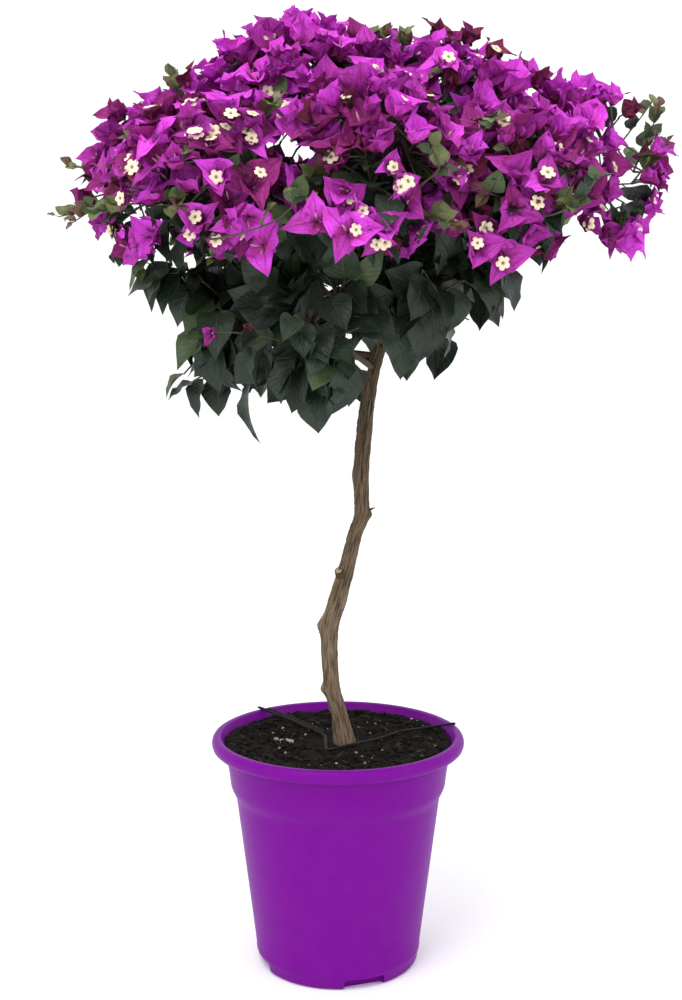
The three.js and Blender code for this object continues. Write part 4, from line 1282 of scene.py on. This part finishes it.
# materials of the growth
def bladeMaterial(name, look, sheen):
    material, tree, shader = newMaterial(name, sheen["roughness"], sheen["gloss"])
    blade = mapParts(tree)
    place = splitVector(tree, objectVector(tree))
    tone = mottled(tree, objectVector(tree), 42.0, look["base"], look["shade"], 0.8)
    drift = tree.nodes.new("ShaderNodeCombineXYZ")  # streaks that run up the blade, different on each blade
    streaks = (("X", "X", sheen["streaks"], 40.0), ("Y", "Y", 2.6, 50.0), ("Z", "X", 0.0, 60.0))
    for label, part, spread, shift in streaks:
        own = mathNode(tree, "MULTIPLY", blade[part], spread)
        moved = mathNode(tree, "MULTIPLY", place[label], shift)
        tree.links.new(mathNode(tree, "ADD", own, moved), drift.inputs[label])
    streak = noiseNode(tree, drift.outputs["Vector"], 1.0, 4.0, 0.6)
    shade = mixColors(tree, tone, look["light"], rangeNode(tree, streak, 0.42, 0.66, sheen["light"]))
    shade = mixColors(tree, shade, look["root"], rangeNode(tree, streak, 0.44, 0.3, sheen["light"]))
    # towards each blade's root it takes the root colour: painted shade where the bracts meet inside a head;
    # on most leaves the root colour is their own base tone
    shade = mixColors(tree, shade, look["root"], rangeNode(tree, blade["Y"], 0.42, 0.0, 0.75))
    count = sheen["veins"]
    lines = placeGroup(tree, veins, Across=blade["X"], Along=blade["Y"], Count=count, Slant=count * 0.7)
    for part, share in (("Midrib", sheen["rib"]), ("Side", sheen["side"])):
        shade = mixColors(tree, shade, look["rib"], mathNode(tree, "MULTIPLY", lines[part], share))
    tree.links.new(shade, shader.inputs["Base Color"])
    raised = mathNode(tree, "ADD", lines["Midrib"], mathNode(tree, "MULTIPLY", lines["Side"], 0.4))
    crinkled = mathNode(tree, "ADD", raised, mathNode(tree, "MULTIPLY", streak, sheen["crinkle"]))
    addBump(tree, shader, crinkled, 0.7, 0.001)
    return material


papery = {
    "roughness": 0.62, "gloss": 0.13, "streaks": 9.0, "light": 0.75, "veins": 7.0, "crinkle": 3.0, "rib": 0.5,
    "side": 0.14,
}
leathery = {
    "roughness": 0.42, "gloss": 0.32, "streaks": 5.0, "light": 0.5, "veins": 7.0, "crinkle": 1.4, "rib": 0.6,
    "side": 0.2,
}
# the first three bract tones are one colour painted lit, half shaded and shaded, dealt out by where a head
# grows; the young tone is the young heads' own wine red; each root colour is painted shade where the bracts
# meet
bractLooks = {
    "bractLit": {
        "base": (0.7, 0.062, 0.68), "shade": (0.62, 0.052, 0.47), "light": (0.8, 0.11, 0.98),
        "root": (0.58, 0.058, 0.3), "rib": (0.48, 0.03, 0.4),
    },
    "bractHalfShaded": {
        "base": (0.46, 0.038, 0.4), "shade": (0.37, 0.03, 0.26), "light": (0.57, 0.07, 0.62),
        "root": (0.32, 0.03, 0.12), "rib": (0.28, 0.015, 0.18),
    },
    "bractShaded": {
        "base": (0.28, 0.022, 0.18), "shade": (0.19, 0.016, 0.11), "light": (0.4, 0.04, 0.28),
        "root": (0.15, 0.016, 0.06), "rib": (0.15, 0.01, 0.08),
    },
    "bractYoung": {
        "base": (0.2, 0.024, 0.07), "shade": (0.13, 0.022, 0.05), "light": (0.28, 0.04, 0.12),
        "root": (0.08, 0.04, 0.03), "rib": (0.1, 0.016, 0.04),
    },
}
leafLooks = {
    "leafDark": {
        "base": (0.012, 0.021, 0.012), "shade": (0.0075, 0.012, 0.008), "light": (0.025, 0.043, 0.031),
        "root": (0.024, 0.036, 0.022), "rib": (0.06, 0.085, 0.06),
    },
    "leafMiddle": {
        "base": (0.022, 0.038, 0.021), "shade": (0.013, 0.022, 0.013), "light": (0.04, 0.065, 0.043),
        "root": (0.036, 0.052, 0.028), "rib": (0.08, 0.115, 0.075),
    },
    "leafGreen": {
        "base": (0.055, 0.085, 0.032), "shade": (0.038, 0.06, 0.026), "light": (0.085, 0.12, 0.055),
        "root": (0.06, 0.08, 0.035), "rib": (0.11, 0.15, 0.07),
    },
    "leafYoung": {
        "base": (0.15, 0.18, 0.065), "shade": (0.1, 0.13, 0.045), "light": (0.22, 0.25, 0.11),
        "root": (0.12, 0.11, 0.05), "rib": (0.2, 0.23, 0.1),
    },
    "leafBronze": {
        "base": (0.13, 0.07, 0.04), "shade": (0.1, 0.035, 0.035), "light": (0.17, 0.12, 0.06),
        "root": (0.09, 0.05, 0.03), "rib": (0.16, 0.08, 0.06),
    },
}


def flowerMaterial():  # cream lobes round a yellow-green throat
    material, tree, shader = newMaterial("flowerCream", 0.6, 0.3)
    lobes = mottled(tree, objectVector(tree), 900.0, (0.84, 0.74, 0.5), (0.86, 0.6, 0.56), 0.6)
    throat = rangeNode(tree, mapParts(tree)["Y"], 0.08, 0.36)
    tree.links.new(mixColors(tree, (0.12, 0.1, 0.03), lobes, throat), shader.inputs["Base Color"])
    return material


# making it all
def makeBoughs():
    limbPaths["trunk"] = roundedPath([Vector(p) for p in trunk["path"]], 201)
    whole = bmesh.new()
    whole.loops.layers.uv.new("UVMap")
    for name, (parent, share, into, sag) in boughs.items():
        trail = limbPaths[parent]
        foot = trail[round(share * (len(trail) - 1))]
        middle = Vector(crown[into][1])
        inside = makeSpace(into)
        bend = foot.lerp(middle, 0.5)
        bend.z += sag
        outward = (bend - middle).normalized()
        tip = middle + outward * edgeDistance(inside, middle, outward) * 0.82
        path = roundedPath([foot, foot.lerp(bend, 0.5), bend, tip], limb["rings"] + 1)
        limbPaths[name] = path
        seed = sum(map(ord, name))

        def radiusAt(at, turn, point, seed=seed):
            radius = blendValue(limb["boughFoot"], limb["boughTip"] + 0.1, at)
            node = 0.35 * max(0, math.sin(at * 19 + seed)) ** 6
            return radius + node + barkRidge(turn, at * 160 + seed, 0.32, 0.16)
        mergeInto(whole, barkTube(path, radiusAt, limb["sides"]))
    piece = meshObject("boughBark", whole)
    piece.data.materials.append(barkMaterial("barkBough", *limb["bark"], 3.0, 0.2))
    finishPiece(piece, "bark", *boughs)
    print("boughs made:", len(piece.data.polygons), "faces")


seeds = {
    "masses": 900, "growth": 4201, "growthStep": 97, "sprigs": 31, "hangers": 57, "standOuts": 83, "arcs": 19,
}


def makeCrown():
    entries = {into: name for name, (_, _, into, _) in boughs.items()}
    for order, name in enumerate(crown):
        rng = np.random.default_rng(seeds["masses"] + order)
        draw = seededSource(seeds["growth"] + order * seeds["growthStep"])
        if name in entries:
            growBloom(name, limbPaths[entries[name]][-1], rng, draw)
        else:
            trail = limbPaths["trunk"]
            growLeaves(name, trail[round(shootStarts[name] * (len(trail) - 1))], rng, draw)
    makeSprigs(np.random.default_rng(seeds["sprigs"]))
    makeHangers(np.random.default_rng(seeds["hangers"]))
    makeStandOuts(np.random.default_rng(seeds["standOuts"]))
    makeArcs(np.random.default_rng(seeds["arcs"]))
    blooms = [name for name, mass in crown.items() if mass[0] == "bloom"]
    leafy = [name for name, mass in crown.items() if mass[0] == "leaves"]
    tones = [bladeMaterial(name, look, papery) for name, look in bractLooks.items()]
    greens = [bladeMaterial(name, look, leathery) for name, look in leafLooks.items()]
    for side, collector in bracts.items():
        stoodFor = [name for name in blooms if bloomSide(crown[name][1][0]) == side]
        finishPiece(collectorObject("bracts" + side.capitalize(), collector, tones), "bloom", *stoodFor)
    finishPiece(collectorObject("leavesSkirt", skirt, greens), "leaf", *leafy)
    finishPiece(collectorObject("leavesAmongBloom", foliage, greens), "leaf")
    cream = flowerMaterial()
    tube = plainMaterial("flowerTube", (0.2, 0.02, 0.16), (0.1, 0.03, 0.07), 500.0, 0.6)
    green = plainMaterial("flowerBud", (0.1, 0.07, 0.05), (0.12, 0.03, 0.07), 500.0, 0.6)
    blush = plainMaterial("flowerBlush", (0.5, 0.2, 0.32), (0.62, 0.4, 0.42), 500.0, 0.6)
    finishPiece(collectorObject("smallFlowers", flowers, [cream, tube, green, blush]), "bloom")
    woody = plainMaterial("twigWood", (0.075, 0.055, 0.04), (0.035, 0.028, 0.02), 220.0, 0.8)
    fresh = plainMaterial("twigGreen", (0.06, 0.075, 0.035), (0.07, 0.035, 0.03), 160.0, 0.65)
    finishPiece(collectorObject("twigTubes", twigs, [woody, fresh]), "bark")


makeCamera()
makeStudio()
makePot()
makeSoil()
makeCrumbs()
makeStrap()
makeTrunk()
makeBoughs()
makeCrown()
